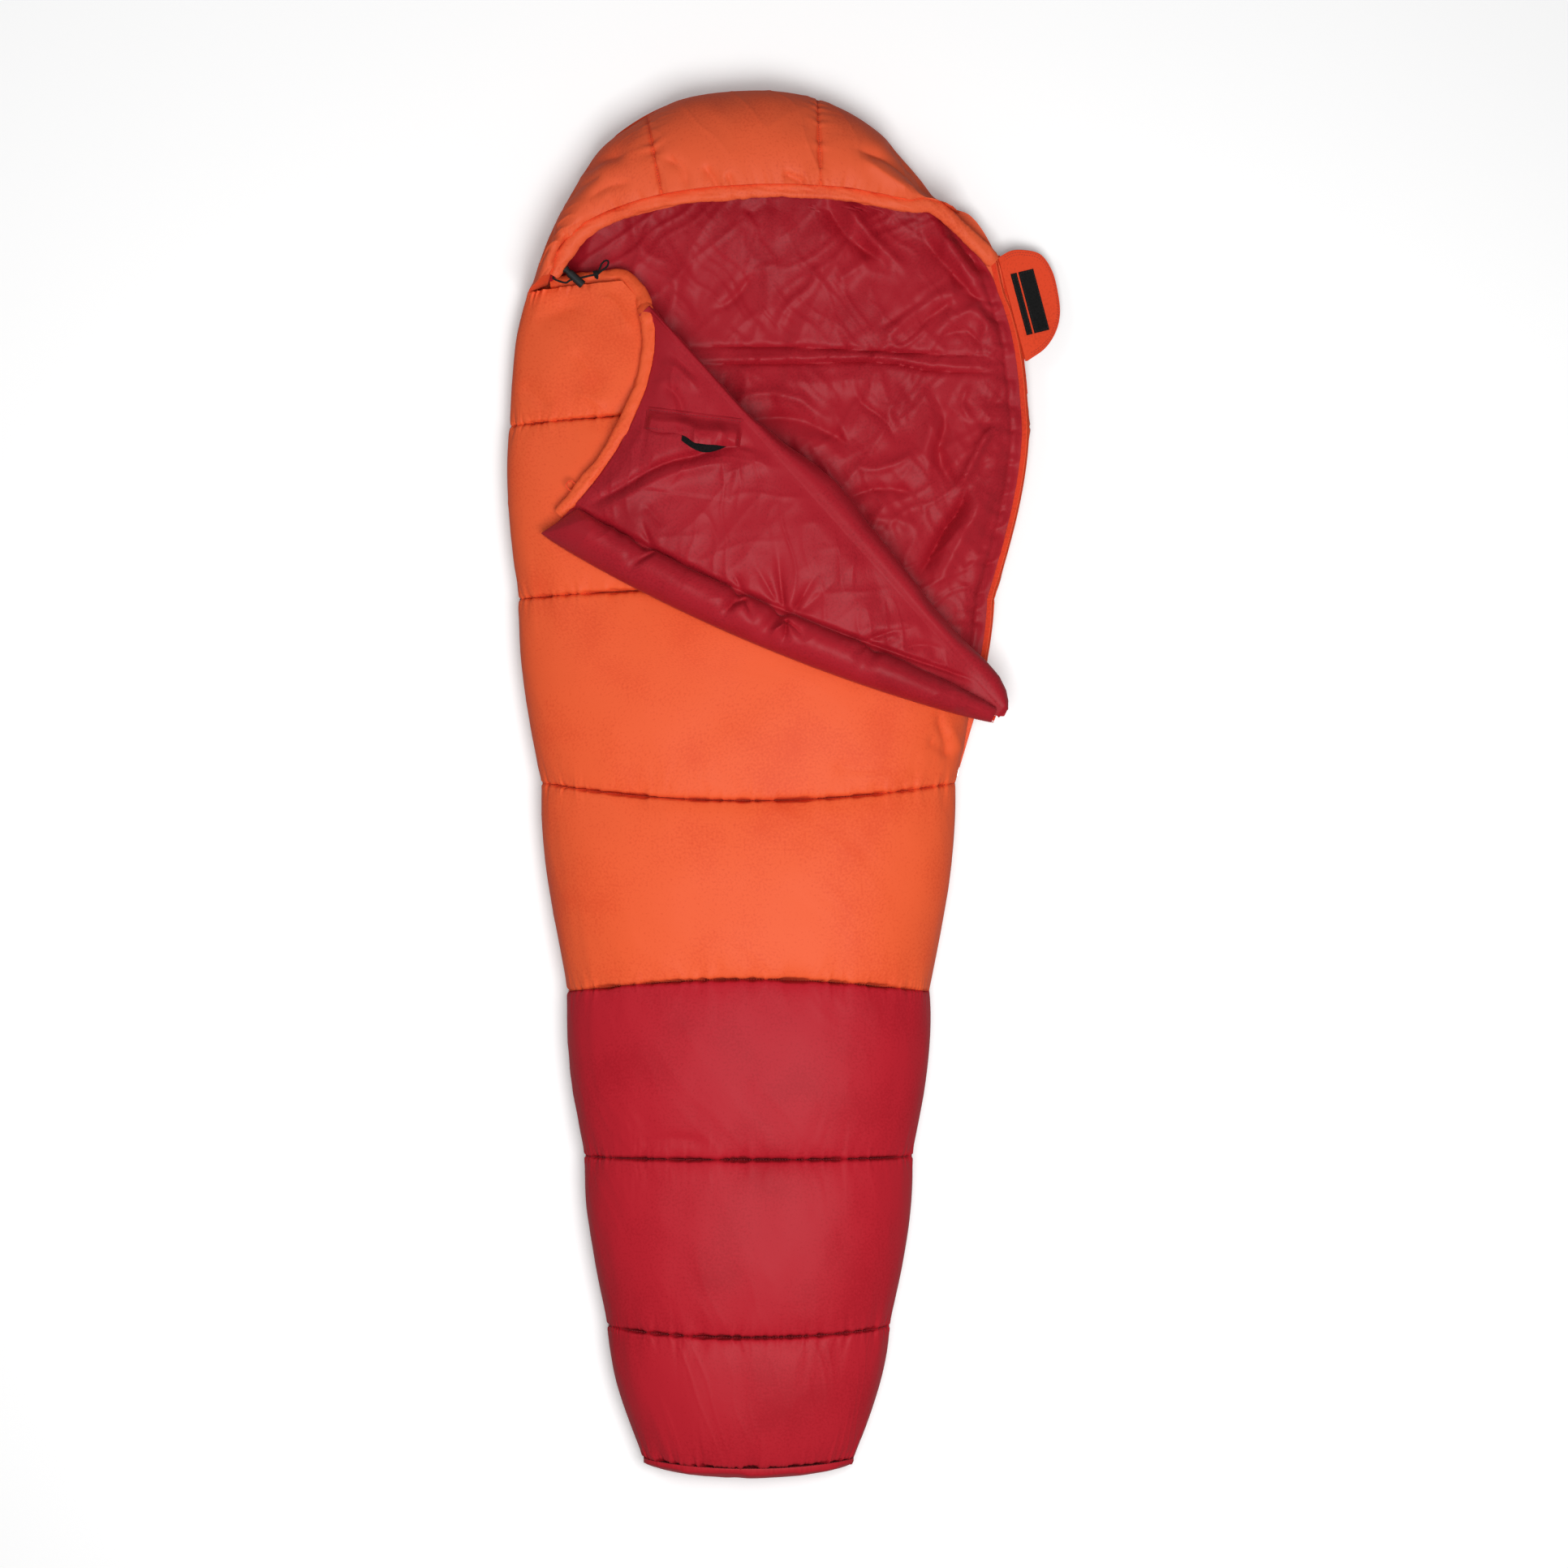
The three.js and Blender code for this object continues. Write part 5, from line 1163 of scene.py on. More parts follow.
@dataclass
class Channels:
    """The three gathered cloth channels: round the face, on the front's edge and on the turned-back edge."""

    dresser: Dresser
    hood: Hood
    flap: "FlapPlan"
    radius: float = 8.0

    def hood_line(self) -> Grid:
        """Middle of the channel round the face."""
        t = np.append(np.arange(17) / 16 * 0.98, 1.0)
        rim, face = line_at(self.hood.rim, 0.97 * t), line_at(self.hood.face, t)
        wide = np.hypot(rim[:, 0] - face[:, 0], rim[:, 1] - face[:, 1])
        steep = 1 - ease(wide, 0, 60)
        near = line_at(self.hood.face, np.clip(t + 0.002, 0, 1))
        run = near - line_at(self.hood.face, np.clip(t - 0.002, 0, 1))
        run /= np.linalg.norm(run[:, :2], axis=1, keepdims=True)
        reach = self.radius + 3.6
        aside = lerp(reach, self.radius + 4, steep) - 2.6
        places = face.copy()
        places[:, 0] += run[:, 1] * aside
        places[:, 1] -= run[:, 0] * aside
        places[:, 2] = lerp(face[:, 2] - 11, face[:, 2] + reach, steep)
        top = self.hood.zip_top
        end = np.array([top[0] - 6, top[1] - 6, PLAN.level + self.radius + 2])
        return smooth_line(np.concatenate([places[:-1], [lerp(places[-1], end, 0.45)], [end]]), 400)

    def chest_line(self) -> Grid:
        """Middle of the channel on the front's edge."""
        zero = np.zeros(1)
        end, end_in = (float(PLAN.end_turn(zero + half, zero + 762, zero + 22)[0]) for half in (340, 304))
        places = []
        for u in np.linspace(0.38, 0.97, 12):
            share, share_in = math.cos(lerp(math.pi, end, u)), math.cos(lerp(math.pi, end_in, u))
            high = PLAN.level + 0.15 + (104 - PLAN.level) * float(dome(np.array(share)))
            under = PLAN.level + 0.15 + 18 * float(dome(np.array(share_in)))
            x = lerp(340 * share, 304 * share_in, 0.4)
            y = 762 + 22 * (1 - share**2) - 0.15 + 8.6
            places.append((x, y, max((high + under) / 2, PLAN.level + 8.6)))
        corner = ((-192, 782, -2.0), (-179, 770, 4.0), (-166, 752, 10.0), (-158, 733, 18.0))
        for x, y, up in corner:  # round the front's corner to the fold
            places.append((x, y, float(PLAN.front_top(np.array(x), np.array(min(y, 761)))) - 14 + up))
        return smooth_line(places, 260)

    def flap_line(self) -> Grid:
        """Middle of the channel on the turned-back edge."""
        k = np.concatenate([[0.3, 0.7, 1.2], np.arange(2, 12)])
        here = self.flap.chest_edge(k / 12 * 0.965)
        after, before = (self.flap.chest_edge(np.maximum(0.05, k + j) / 12 * 0.965) for j in (0.3, -0.3))
        run = (after - before) / np.linalg.norm(after - before, axis=1, keepdims=True)
        reach = self.radius - 0.39
        places = PLAN.fold_point(here[:, 0] - reach * run[:, 1], here[:, 1] + reach * run[:, 0])
        places[:, 2] = PLAN.front_top(places[:, 0], places[:, 1]) + 4 + self.radius
        start = np.array([(-160.0, 738.0, 106.0), (-155.5, 720.0, 117.5)])  # over the fold's end, to the chest channel
        return smooth_line(np.concatenate([start, places]), 300)

    def build(self) -> None:
        """Makes and dresses the channels, and the cord inside the first."""
        line = self.hood_line()
        piece = ruched_tube("face_channel", line, self.radius + 1.2, 15.0, 0.3, 501)
        self.dresser.dress(piece, HOOD_SHELL, slot="hood_shell", replaced=("hood_drawcord_channel",), fill=0.5)
        piece = tube("cord_in_channel", resample(line, 120), 1.5, 8)
        self.dresser.dress(piece, CORD_BRAID, slot="cord", replaced=("drawcord_in_channel",))
        piece = ruched_tube("chest_channel", self.chest_line(), self.radius + 1, 15.0, 0.3, 511)
        self.dresser.dress(piece, ORANGE_SHELL, slot="orange_shell", replaced=("chest_drawcord_channel",), fill=0.5)
        piece = ruched_tube("flap_channel", self.flap_line(), self.radius + 1, 15.0, 0.32, 521)
        self.dresser.dress(
            piece, ORANGE_SHELL, body="flap", slot="orange_shell", replaced=("flap_drawcord_channel",), fill=0.5
        )


# ---------------------------------------------------------------------------
# The turned-back corner


@dataclass(frozen=True)
class FlapPlan:
    """Outline and heights of the turned-back corner, as distances along and out from the fold line."""

    tip_along: float = 148.0
    tip_out: float = 354.0
    corner_along: float = 841.0
    corner_out: float = 20.0
    length: float = 832.0
    zip_bow: float = 34.0
    chest_bow: float = 60.0
    loft: float = 30.0
    edge: float = 11.0
    tube_wide: float = 66.0
    tip_share: float = 0.965
    rest: float = 4.0
    corner_level: float = 92.0
    blend: float = 9.0
    skin: float = 1.8
    folds: tuple[Crease, ...] = (
        Crease((-257, 424, -218, 443, -185, 461, -140, 487, -96, 501, -53, 508), 8, -11),
        Crease((-235, 417, -185, 442, -135, 468, -78, 486, -3, 496), 14, 8),
        Crease((57, 248, 52, 289, 47, 333, 41, 380), 11, -11, True),
        Crease((54, 252, 34, 296, 8, 340, -6, 366), 12, -7, True),
        Crease((62, 248, 85, 290, 106, 322, 122, 336), 11, -10, True),
        Crease((64, 248, 112, 292, 168, 338), 16, -6, True), Crease((-6, 282, -14, 304, -26, 334), 9, -9, True),
        Crease((-8, 282, -40, 312, -72, 346), 12, -5, True), Crease((-145, 357, -158, 388, -166, 424), 10, -6, True),
        Crease((172, 216, 215, 232, 285, 246), 10, -7, True), Crease((235, 408, 172, 346, 110, 283), 22, 5),
        Crease((205, 214, 235, 239, 285, 245), 14, 5), Crease((228, 208, 272, 214, 316, 204), 8, -5),
        Crease((-138, 652, -104, 634, -72, 602), 8, 5), Crease((-132, 618, -106, 590, -98, 556), 8, -6),
        Crease((-122, 668, -96, 640, -78, 622), 5, -4), Crease((-60, 560, -20, 520, 20, 500), 9, 5),
        Crease((14, 533, 34, 522, 57, 511), 8, 9), Crease((22, 513, -22, 518, -66, 508, -116, 490), 9, -8),
        Crease((47, 508, 3, 490, -53, 468), 15, 6), Crease((-163, 433, -141, 408, -131, 393), 9, -4),
        Crease((185, 346, 210, 283, 222, 239), 20, -5),
    )

    def zip_edge(self, t: Grid, inset: Grid | float = 0.0) -> Grid:
        """The edge that the zip is sewn to: t from the tip to the foot corner, inset from the edge."""
        slope = math.atan2(self.tip_out - self.corner_out, self.corner_along - self.tip_along)
        bow = self.zip_bow * np.sin(math.pi * np.clip(t, 0, 1)) ** 0.7 - inset
        return np.stack(
            np.broadcast_arrays(
                lerp(self.tip_along, self.corner_along, t) + bow * math.sin(slope),
                lerp(self.tip_out, self.corner_out, t) + bow * math.cos(slope),
            ),
            -1,
        )

    def chest_edge(self, t: Grid) -> Grid:
        """The short edge, from the fold to the tip."""
        bow = self.chest_bow * np.sin(math.pi * np.clip(t, 0, 1) ** 0.7) ** 0.7
        return np.stack([self.tip_along * t + bow, self.tip_out * t], -1)

    def plan(self, u: Grid, v: Grid, inset: float = 12.3) -> Grid:
        """Places inside the outline: u out from the fold, v along it."""

        def start(t: Grid) -> Grid:
            return self.chest_edge(t * self.tip_share)

        def end(t: Grid) -> Grid:
            return lerp(np.array([self.length, 0.0]), self.zip_edge(np.ones_like(t), inset), t[..., None])

        zero, one = np.zeros_like(u), np.ones_like(u)
        left = np.stack([self.length * v, zero], -1)
        right = self.zip_edge(lerp(0.013, 1, v), inset)
        u3, v3 = u[..., None], v[..., None]
        corners = lerp(lerp(start(zero), start(one), u3), lerp(end(zero), end(one), u3), v3)
        return lerp(start(u), end(u), v3) + lerp(left, right, u3) - corners

    def from_zip(self, s: Grid, d: Grid) -> Grid:
        """Distance in from the zip edge."""
        t = np.clip((s - self.tip_along) / (self.corner_along - self.tip_along), 0, 1)
        return np.maximum(0, self.zip_edge(t)[..., 1] - d)

    def from_chest(self, s: Grid, d: Grid) -> Grid:
        """Distance in from the short edge."""
        return np.maximum(0, s - self.chest_edge(np.clip(d / self.tip_out, 0, 1))[..., 0])

    def under(self, s: Grid, d: Grid) -> Grid:
        """Height of the corner's shell where it lies on the front."""
        place = PLAN.fold_point(s, d)
        over = (PLAN.front_top(place[..., 0], place[..., 1]) - self.corner_level) / self.blend
        return self.corner_level + self.blend * np.logaddexp(0, over) + self.rest

    def thick(self, s: Grid, d: Grid) -> Grid:
        """Thickness of the filling."""
        full = np.minimum.reduce(
            [
                ease(self.from_zip(s, d), 0, 2 * self.tube_wide),
                ease(self.from_chest(s, d), 0, self.tube_wide),
                ease(np.maximum(0, self.length - s), 0, 28),
            ]
        )
        return lerp(self.edge, self.loft, np.sqrt(full))

    def relief(self, s: Grid, d: Grid) -> Grid:
        """Height of the lining's crumples over the filling."""
        zip_in, place = self.from_zip(s, d), PLAN.fold_point(s, d)
        inside = ease(zip_in, 62, 84) * ease(d, 2, 34) * ease(self.length - s, 0, 50)
        edge = ease(self.from_chest(s, d), 0, 26)
        crumple = (
            4 * soft(s, d, 140, 306) + 2.4 * (creases(s, d, 78, 190, 56, 301, 1.5) - 0.3)
            + 1.6 * (creases(s, d, 126, 140, 34, 302, 1.8) - 0.2) + 1.8 * creases(s, d, 40, 130, 24, 308, 2.6)
            + fold_relief(self.folds, place[..., 0], place[..., 1])
        )
        gathers = 3.5 * (puckers(d, self.from_chest(s, d), 34, 15, 304) + 0.1)
        seam = zip_in - self.tube_wide
        gathers = gathers + 3.5 * puckers(s, np.abs(seam), 20, 12, 305) + 2.5 * puckers(s, np.abs(seam), 50, 44, 307)
        groove = -6 * np.exp(-((seam / 5) ** 2))
        return crumple * inside * edge + (gathers + groove) * ease(d, 4, 30)

    def top(self, s: Grid, d: Grid) -> Grid:
        """Height of the lining's upper side, crumples and all."""
        return self.level_top(s, d) + self.relief(s, d)

    def level_top(self, s: Grid, d: Grid) -> Grid:
        """Height of the lining's upper side before it crumples."""
        return self.under(s, d) + self.thick(s, d) + self.skin


FLAP = FlapPlan()


def on_flap(plan: Grid, height: Grid) -> Grid:
    """Bag places for distances along and out, at the given heights."""
    return PLAN.fold_point(plan[..., 0], np.maximum(plan[..., 1], 0.3), height)


@dataclass
class Corner:
    """The front's corner, folded back with its lining up."""

    dresser: Dresser
    fold_reach: tuple[tuple[float, float], ...] = (
        (0, 7), (150, 6), (240, 8), (300, 17), (340, 26), (390, 35), (430, 34), (480, 29), (520, 30), (580, 26),
        (644, 20), (700, 21), (750, 26), (785, 25), (808, 19), (822, 11), (832, 2),
    )
    tube_high: float = 36.0
    pinches: tuple[tuple[float, float, float], ...] = (
        # share of the length, depth, half width
        (0.195, 0.3, 0.014), (0.405, 0.3, 0.013), (0.497, 0.5, 0.017), (0.7, 0.26, 0.016),
    )
    tube_folds: tuple[Crease, ...] = (
        Crease((-145, 355, -166, 343, -186, 323), 9, -9, True), Crease((-6, 282, -24, 275, -41, 250), 9, -9, True),
        Crease((-4, 280, 4, 262, 6, 240), 9, -7, True), Crease((58, 248, 57, 230, 49, 208), 9, -11, True),
        Crease((56, 246, 42, 236, 30, 218), 8, 8, True), Crease((60, 248, 77, 234, 88, 212), 9, -8, True),
        Crease((286, 188, 322, 170, 366, 136), 8, -9), Crease((272, 175, 316, 151, 354, 125), 10, 5),
        Crease((180, 214, 172, 204, 158, 188), 9, -7, True),
    )

    def build(self) -> None:
        """Makes and dresses the corner's pieces."""
        self._pad()
        self._fold()
        self._draft_tube()
        self._hang_loop()
        self._loop_patch()

    def _pad(self) -> None:
        """The filled shell, and the lining on it."""
        u, v = share_grid(150, 300)
        plan = FLAP.plan(u, v)
        s, d = plan[..., 0], np.maximum(plan[..., 1], 0.3)
        top = FLAP.top(s, d)
        under = FLAP.under(s, d)
        shell_top = np.maximum(top - FLAP.skin, under + 3)
        every = np.ix_(np.r_[0:300:2, 299], np.r_[0:150:2, 149])  # the shell is hidden here, so half the places do
        hidden = ease(np.minimum.reduce([u, 1 - u, v, 1 - v]), 0, 0.05)
        piece = closed_pad("corner_shell", on_flap(plan, shell_top - hidden)[every], on_flap(plan, under)[every])
        self.dresser.dress(piece, ORANGE_SHELL, body="flap", slot="orange_shell", replaced=("flap_pad",), fill=0.6)
        low = on_flap(plan, shell_top + 0.3)
        piece = closed_pad("corner_lining", on_flap(plan, shell_top + FLAP.skin), low)
        self.dresser.dress(piece, LINER, body="flap", slot="liner", replaced=("flap_liner",))

    def _fold(self) -> None:
        """The soft roll where the corner turns over."""
        turn, s = np.meshgrid(np.linspace(-math.pi / 2, math.pi / 2, 46), np.linspace(0.3, FLAP.length, 420))
        zero = np.zeros_like(s)
        place = PLAN.fold_point(s, zero)
        y = place[..., 1]
        crown, inner = PLAN.at_y(PLAN.crown, y), PLAN.at_y(PLAN.half, y) - PLAN.wall
        front_under = PLAN.level + np.maximum(0, crown - PLAN.loft - PLAN.level) * dome(place[..., 0] / inner)
        low = np.maximum(front_under, FLAP.corner_level - PLAN.loft / 2)
        high = FLAP.level_top(s, zero + 0.3)
        middle, half = (low + high) / 2, (high - low) / 2
        arc = np.cos(turn)
        wrinkle = arc * (
            2.5 * (creases(s, turn * 34, 84, 110, 44, 321, 1.6) - 0.45) + 2.5 * (noise(s / 95, turn, 323) - 0.5)
        )
        table = np.array(self.fold_reach)
        reach = np.interp(s, table[:, 0], table[:, 1]) * arc**0.8 + 0.9 + wrinkle
        outer = PLAN.fold_point(s, -reach, middle + half * np.sin(turn))
        inner_side = PLAN.fold_point(s, zero - 0.4, middle + half * 0.998 * np.sin(turn))
        out = np.linspace(0, 1, 9)[None, 1:]  # over the lining, and into it at its end
        over_s = np.minimum(s[:, :1] + 0 * out, FLAP.length - 0.3)
        over = FLAP.top(over_s, 17 * out + 0 * over_s) + lerp(0.6, -1.0, out)
        outer = np.concatenate([outer, PLAN.fold_point(over_s, 17 * out, over)], 1)
        inner_side = np.concatenate([inner_side, PLAN.fold_point(over_s, 17 * out, over - 1.6)], 1)
        piece = closed_pad("corner_fold", outer, inner_side)
        self.dresser.dress(piece, LINER, body=None, slot="liner", replaced=("flap_fold",), fill=0.7)
        middle_place = bag_to_row(PLAN.fold_point(FLAP.length / 2, 0.0))
        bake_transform(piece)

    def _draft_tube(self) -> None:
        """The stuffed tube that lies behind the zip, pinched where it has been bent."""
        u, v = share_grid(56, 560)
        t = lerp(0.003, 0.98, v) + 0.05 * u * (1 - v) ** 9
        pinch = np.ones_like(v)
        for at, deep, wide in self.pinches:
            pinch = pinch - deep * u * np.exp(-(((t - at - 0.02 * (u - 0.5)) / wide) ** 2))
        narrow = np.minimum(1, lerp(1, 0.35, v**6))
        inset = lerp(1, FLAP.tube_wide, u) * narrow
        wavy = 2.0 * (noise(t * 60, 0 * t, 341) - 0.5) - 20 * (1 - pinch)
        plan = FLAP.zip_edge(t, inset + wavy * ease(u, 0.1, 1.0))
        s, d = plan[..., 0], plan[..., 1]
        run = t * 770  # the edge's length
        ends = np.minimum(1, np.sqrt(np.minimum(v, 1 - v) * 12 + 0.05))
        seat = FLAP.level_top(s, d) + FLAP.rest * lerp(0.23, 2.4, ease(s, FLAP.length * 0.8, FLAP.length * 0.95))
        across = u * FLAP.tube_wide
        wrinkle = (
            1.5 * puckers(run, across, 12, 12, 342) + 4 * puckers(run, FLAP.tube_wide - across, 15, 11, 343)
            + 1.6 * (creases(run, across, 40, 110, 30, 344, 1.6) - 0.4) + 2.5 * soft(run, across, 90, 345)
        )
        place = PLAN.fold_point(s, d)
        wrinkle = wrinkle + fold_relief(self.tube_folds, place[..., 0], place[..., 1])
        high = (self.tube_high * puff(u) ** 0.9 * pinch + wrinkle * ease(puff(u), 0, 0.5)) * ends
        low = on_flap(plan, seat)
        piece = closed_pad("draft_tube_cloth", on_flap(plan, seat + 1.5 + np.maximum(0, high)), low)
        self.dresser.dress(piece, LINER, body="flap", slot="liner", replaced=("draft_tube",), fill=0.7)

    def _hang_loop(self) -> None:
        """A band of tape bent round and sewn at its ends."""
        at = FLAP.chest_edge(np.array(0.763))
        middle = PLAN.fold_point(at[0] - 24, at[1])
        level = float(PLAN.front_top(middle[0], middle[1])) + FLAP.rest + 8
        turn = np.linspace(0, 2 * math.pi, 64, endpoint=False)
        along = PLAN.fold_along
        heading = math.atan2(along[1], along[0])
        body = []
        for grow in (0.0, -1.4):
            x = (8 + grow) * np.sign(np.cos(turn)) * np.abs(np.cos(turn)) ** 0.7
            y = (7 + grow) * np.sign(np.sin(turn)) * np.abs(np.sin(turn)) ** 0.7
            body.append((x * math.cos(heading) - y * math.sin(heading), x * math.sin(heading) + y * math.cos(heading)))
        rows = np.linspace(-3, 3, 9)
        grids = [
            np.stack(
                [
                    middle[0] + x[None, :] + 0 * rows[:, None], middle[1] + y[None, :] + 0 * rows[:, None],
                    level + rows[:, None] + 0 * x[None, :],
                ],
                -1,
            )
            for x, y in body
        ]
        piece = closed_pad("hang_loop_band", grids[0], grids[1], wrap=True)
        self.dresser.dress(piece, TAB_CLOTH, body="flap", slot="orange_shell", replaced=("hang_loop",))

    def _loop_patch(self) -> None:
        """The brushed patch under the corner that the tab's hooks catch."""
        u, v = share_grid(14, 60)
        plan = FLAP.zip_edge(lerp(0.04, 0.16, v), 24 + 28 * u)
        top = FLAP.under(plan[..., 0], plan[..., 1]) - 1.2
        low = top - 1.2 - 0.2 * noise(u * 30, v * 60, 7)
        piece = closed_pad("loop_patch_cloth", on_flap(plan, top), on_flap(plan, low))
        self.dresser.dress(piece, LOOP_TAPE, body="flap", slot="loop_tape", replaced=("tab_loop_patch",))


@dataclass
class Pocket:
    """The small patch pocket on the turned-back lining, with its hook strip and its own flap."""

    dresser: Dresser
    along: float = 117.5
    out: float = 126.6
    inset: float = 14.0
    wide: float = 150.0
    deep: float = 110.0
    stand: float = 11.0
    flap_deep: float = 37.0

    def _plan(self, wide: Grid, deep: Grid) -> Grid:
        """Places that far along the opening and down the pocket."""
        line = np.array([258.8 - self.along, 6 - self.out])
        line /= np.linalg.norm(line)
        down = np.array([-line[1], line[0]])
        at = np.array([self.along, self.out])
        return at + line * (self.inset + wide[..., None]) + down * deep[..., None]

    def _swell(self, u: Grid, v: Grid) -> Grid:
        """How far the patch stands off the lining."""
        return self.stand * np.sin(math.pi * np.clip(u, 0, 1)) * (1 - ease(v, 0.1, 1.0))

    def _crumple(self, u: Grid, deep: Grid) -> Grid:
        """Height of the patch's creases, deep down the pocket."""
        return 4 * creases(u * self.wide, deep, 96, 80, 26, 361) * puff(u)

    def _over(self, u: Grid) -> Grid:
        """How far the pocket's flap lies over the lining."""
        return self._swell(lerp(0.06, 0.94, u), 0 * u) + 6.0 + self._crumple(u, 0 * u)

    def build(self) -> None:
        """Makes and dresses the pocket's pieces."""
        u, v = share_grid(90, 70)
        plan = self._plan(u * self.wide, v * self.deep)
        base = FLAP.top(plan[..., 0], plan[..., 1])
        crumple = self._crumple(u, v * self.deep) * puff(0.5 + v / 2)
        rim = ease(np.minimum.reduce([u, 1 - u, 1 - v]), 0, 0.07)
        low = on_flap(plan, base + 0.05 + self._swell(u, v) + crumple * rim)
        high = low + UP * lerp(0.12, 1.2, rim)[..., None]
        piece = closed_pad("pocket_cloth", high, low)
        self.dresser.dress(piece, LINER, body="flap", slot="liner", replaced=("pocket_patch",))
        u, v = share_grid(50, 14)
        share = lerp(0.4, 0.86, u)
        deep = 12 + (14 + 13 * np.sin(math.pi * u)) * v
        plan = self._plan(share * self.wide, deep)
        base = FLAP.top(plan[..., 0], plan[..., 1]) + 0.3 + self._swell(share, deep / self.deep)
        base = base + self._crumple(share, deep) + 1.6
        piece = closed_pad("pocket_hooks", on_flap(plan, base + 1.6), on_flap(plan, base))
        self.dresser.dress(piece, HOOK_TAPE, body="flap", slot="hook_tape", replaced=("pocket_hook_strip",))
        u, v = share_grid(110, 40)
        wave = 9 * ease(u, 0.42, 0.56) + 5 * (noise(u * 6.4, 0 * u, 363) - 0.5) - 3 * ease(u, 0.85, 1)
        plan = self._plan(u * self.wide, -0.55 * self.flap_deep + v * (self.flap_deep + wave))
        base = FLAP.top(plan[..., 0], plan[..., 1])
        edge = 2.4 * (noise(u * 9, v * 2, 364) - 0.3) + 8 * ease(u, 0.4, 0.6) * np.abs(np.sin(7 * u + 0.2))
        edge = edge * ease(v, 0.2, 0.9)
        free = ease(v, 0.1, 0.6) * ease(np.minimum(u, 1 - u), 0, 0.06)
        low = on_flap(plan, base + lerp(0.1, self._over(u) + edge, free))
        rim = ease(np.minimum.reduce([u, 1 - u, v]), 0, 0.06)
        piece = closed_pad("pocket_flap_cloth", low + UP * lerp(0.2, 1.5, rim)[..., None], low)
        self.dresser.dress(piece, LINER, body="pocket_flap", slot="liner", replaced=("pocket_flap",))
        u = np.linspace(0.02, 0.98, 70)
        for k, deep in enumerate((-0.5 * self.flap_deep + 3, self.flap_deep * 0.36)):
            share = np.full_like(u, (deep + 0.55 * self.flap_deep) / self.flap_deep)
            plan = self._plan(u * self.wide, np.full_like(u, deep))
            base = FLAP.top(plan[..., 0], plan[..., 1])
            line = on_flap(plan, base + lerp(0.4, self._over(u), ease(share, 0.1, 0.6)) + 1.6)
            piece = stitches(f"pocket_flap_stitches_{k + 1}", line)
            self.dresser.dress(piece, STITCH_RED, body="pocket_flap", slot="liner")


# ---------------------------------------------------------------------------
# Zip


def coil_line(line: Grid, radius: float, pitch: float, steps: int = 9) -> Grid:
    """A helix about a line, as a zip's nylon coil is wound."""
    run = float(np.linalg.norm(np.diff(line, axis=0), axis=1).sum())
    count = int(run / pitch) * steps
    even = resample(line, count)
    _, side, up = frames_along(even)
    turn = np.arange(count) / steps * 2 * math.pi
    return even + radius * (np.cos(turn)[:, None] * side + 0.8 * np.sin(turn)[:, None] * up)


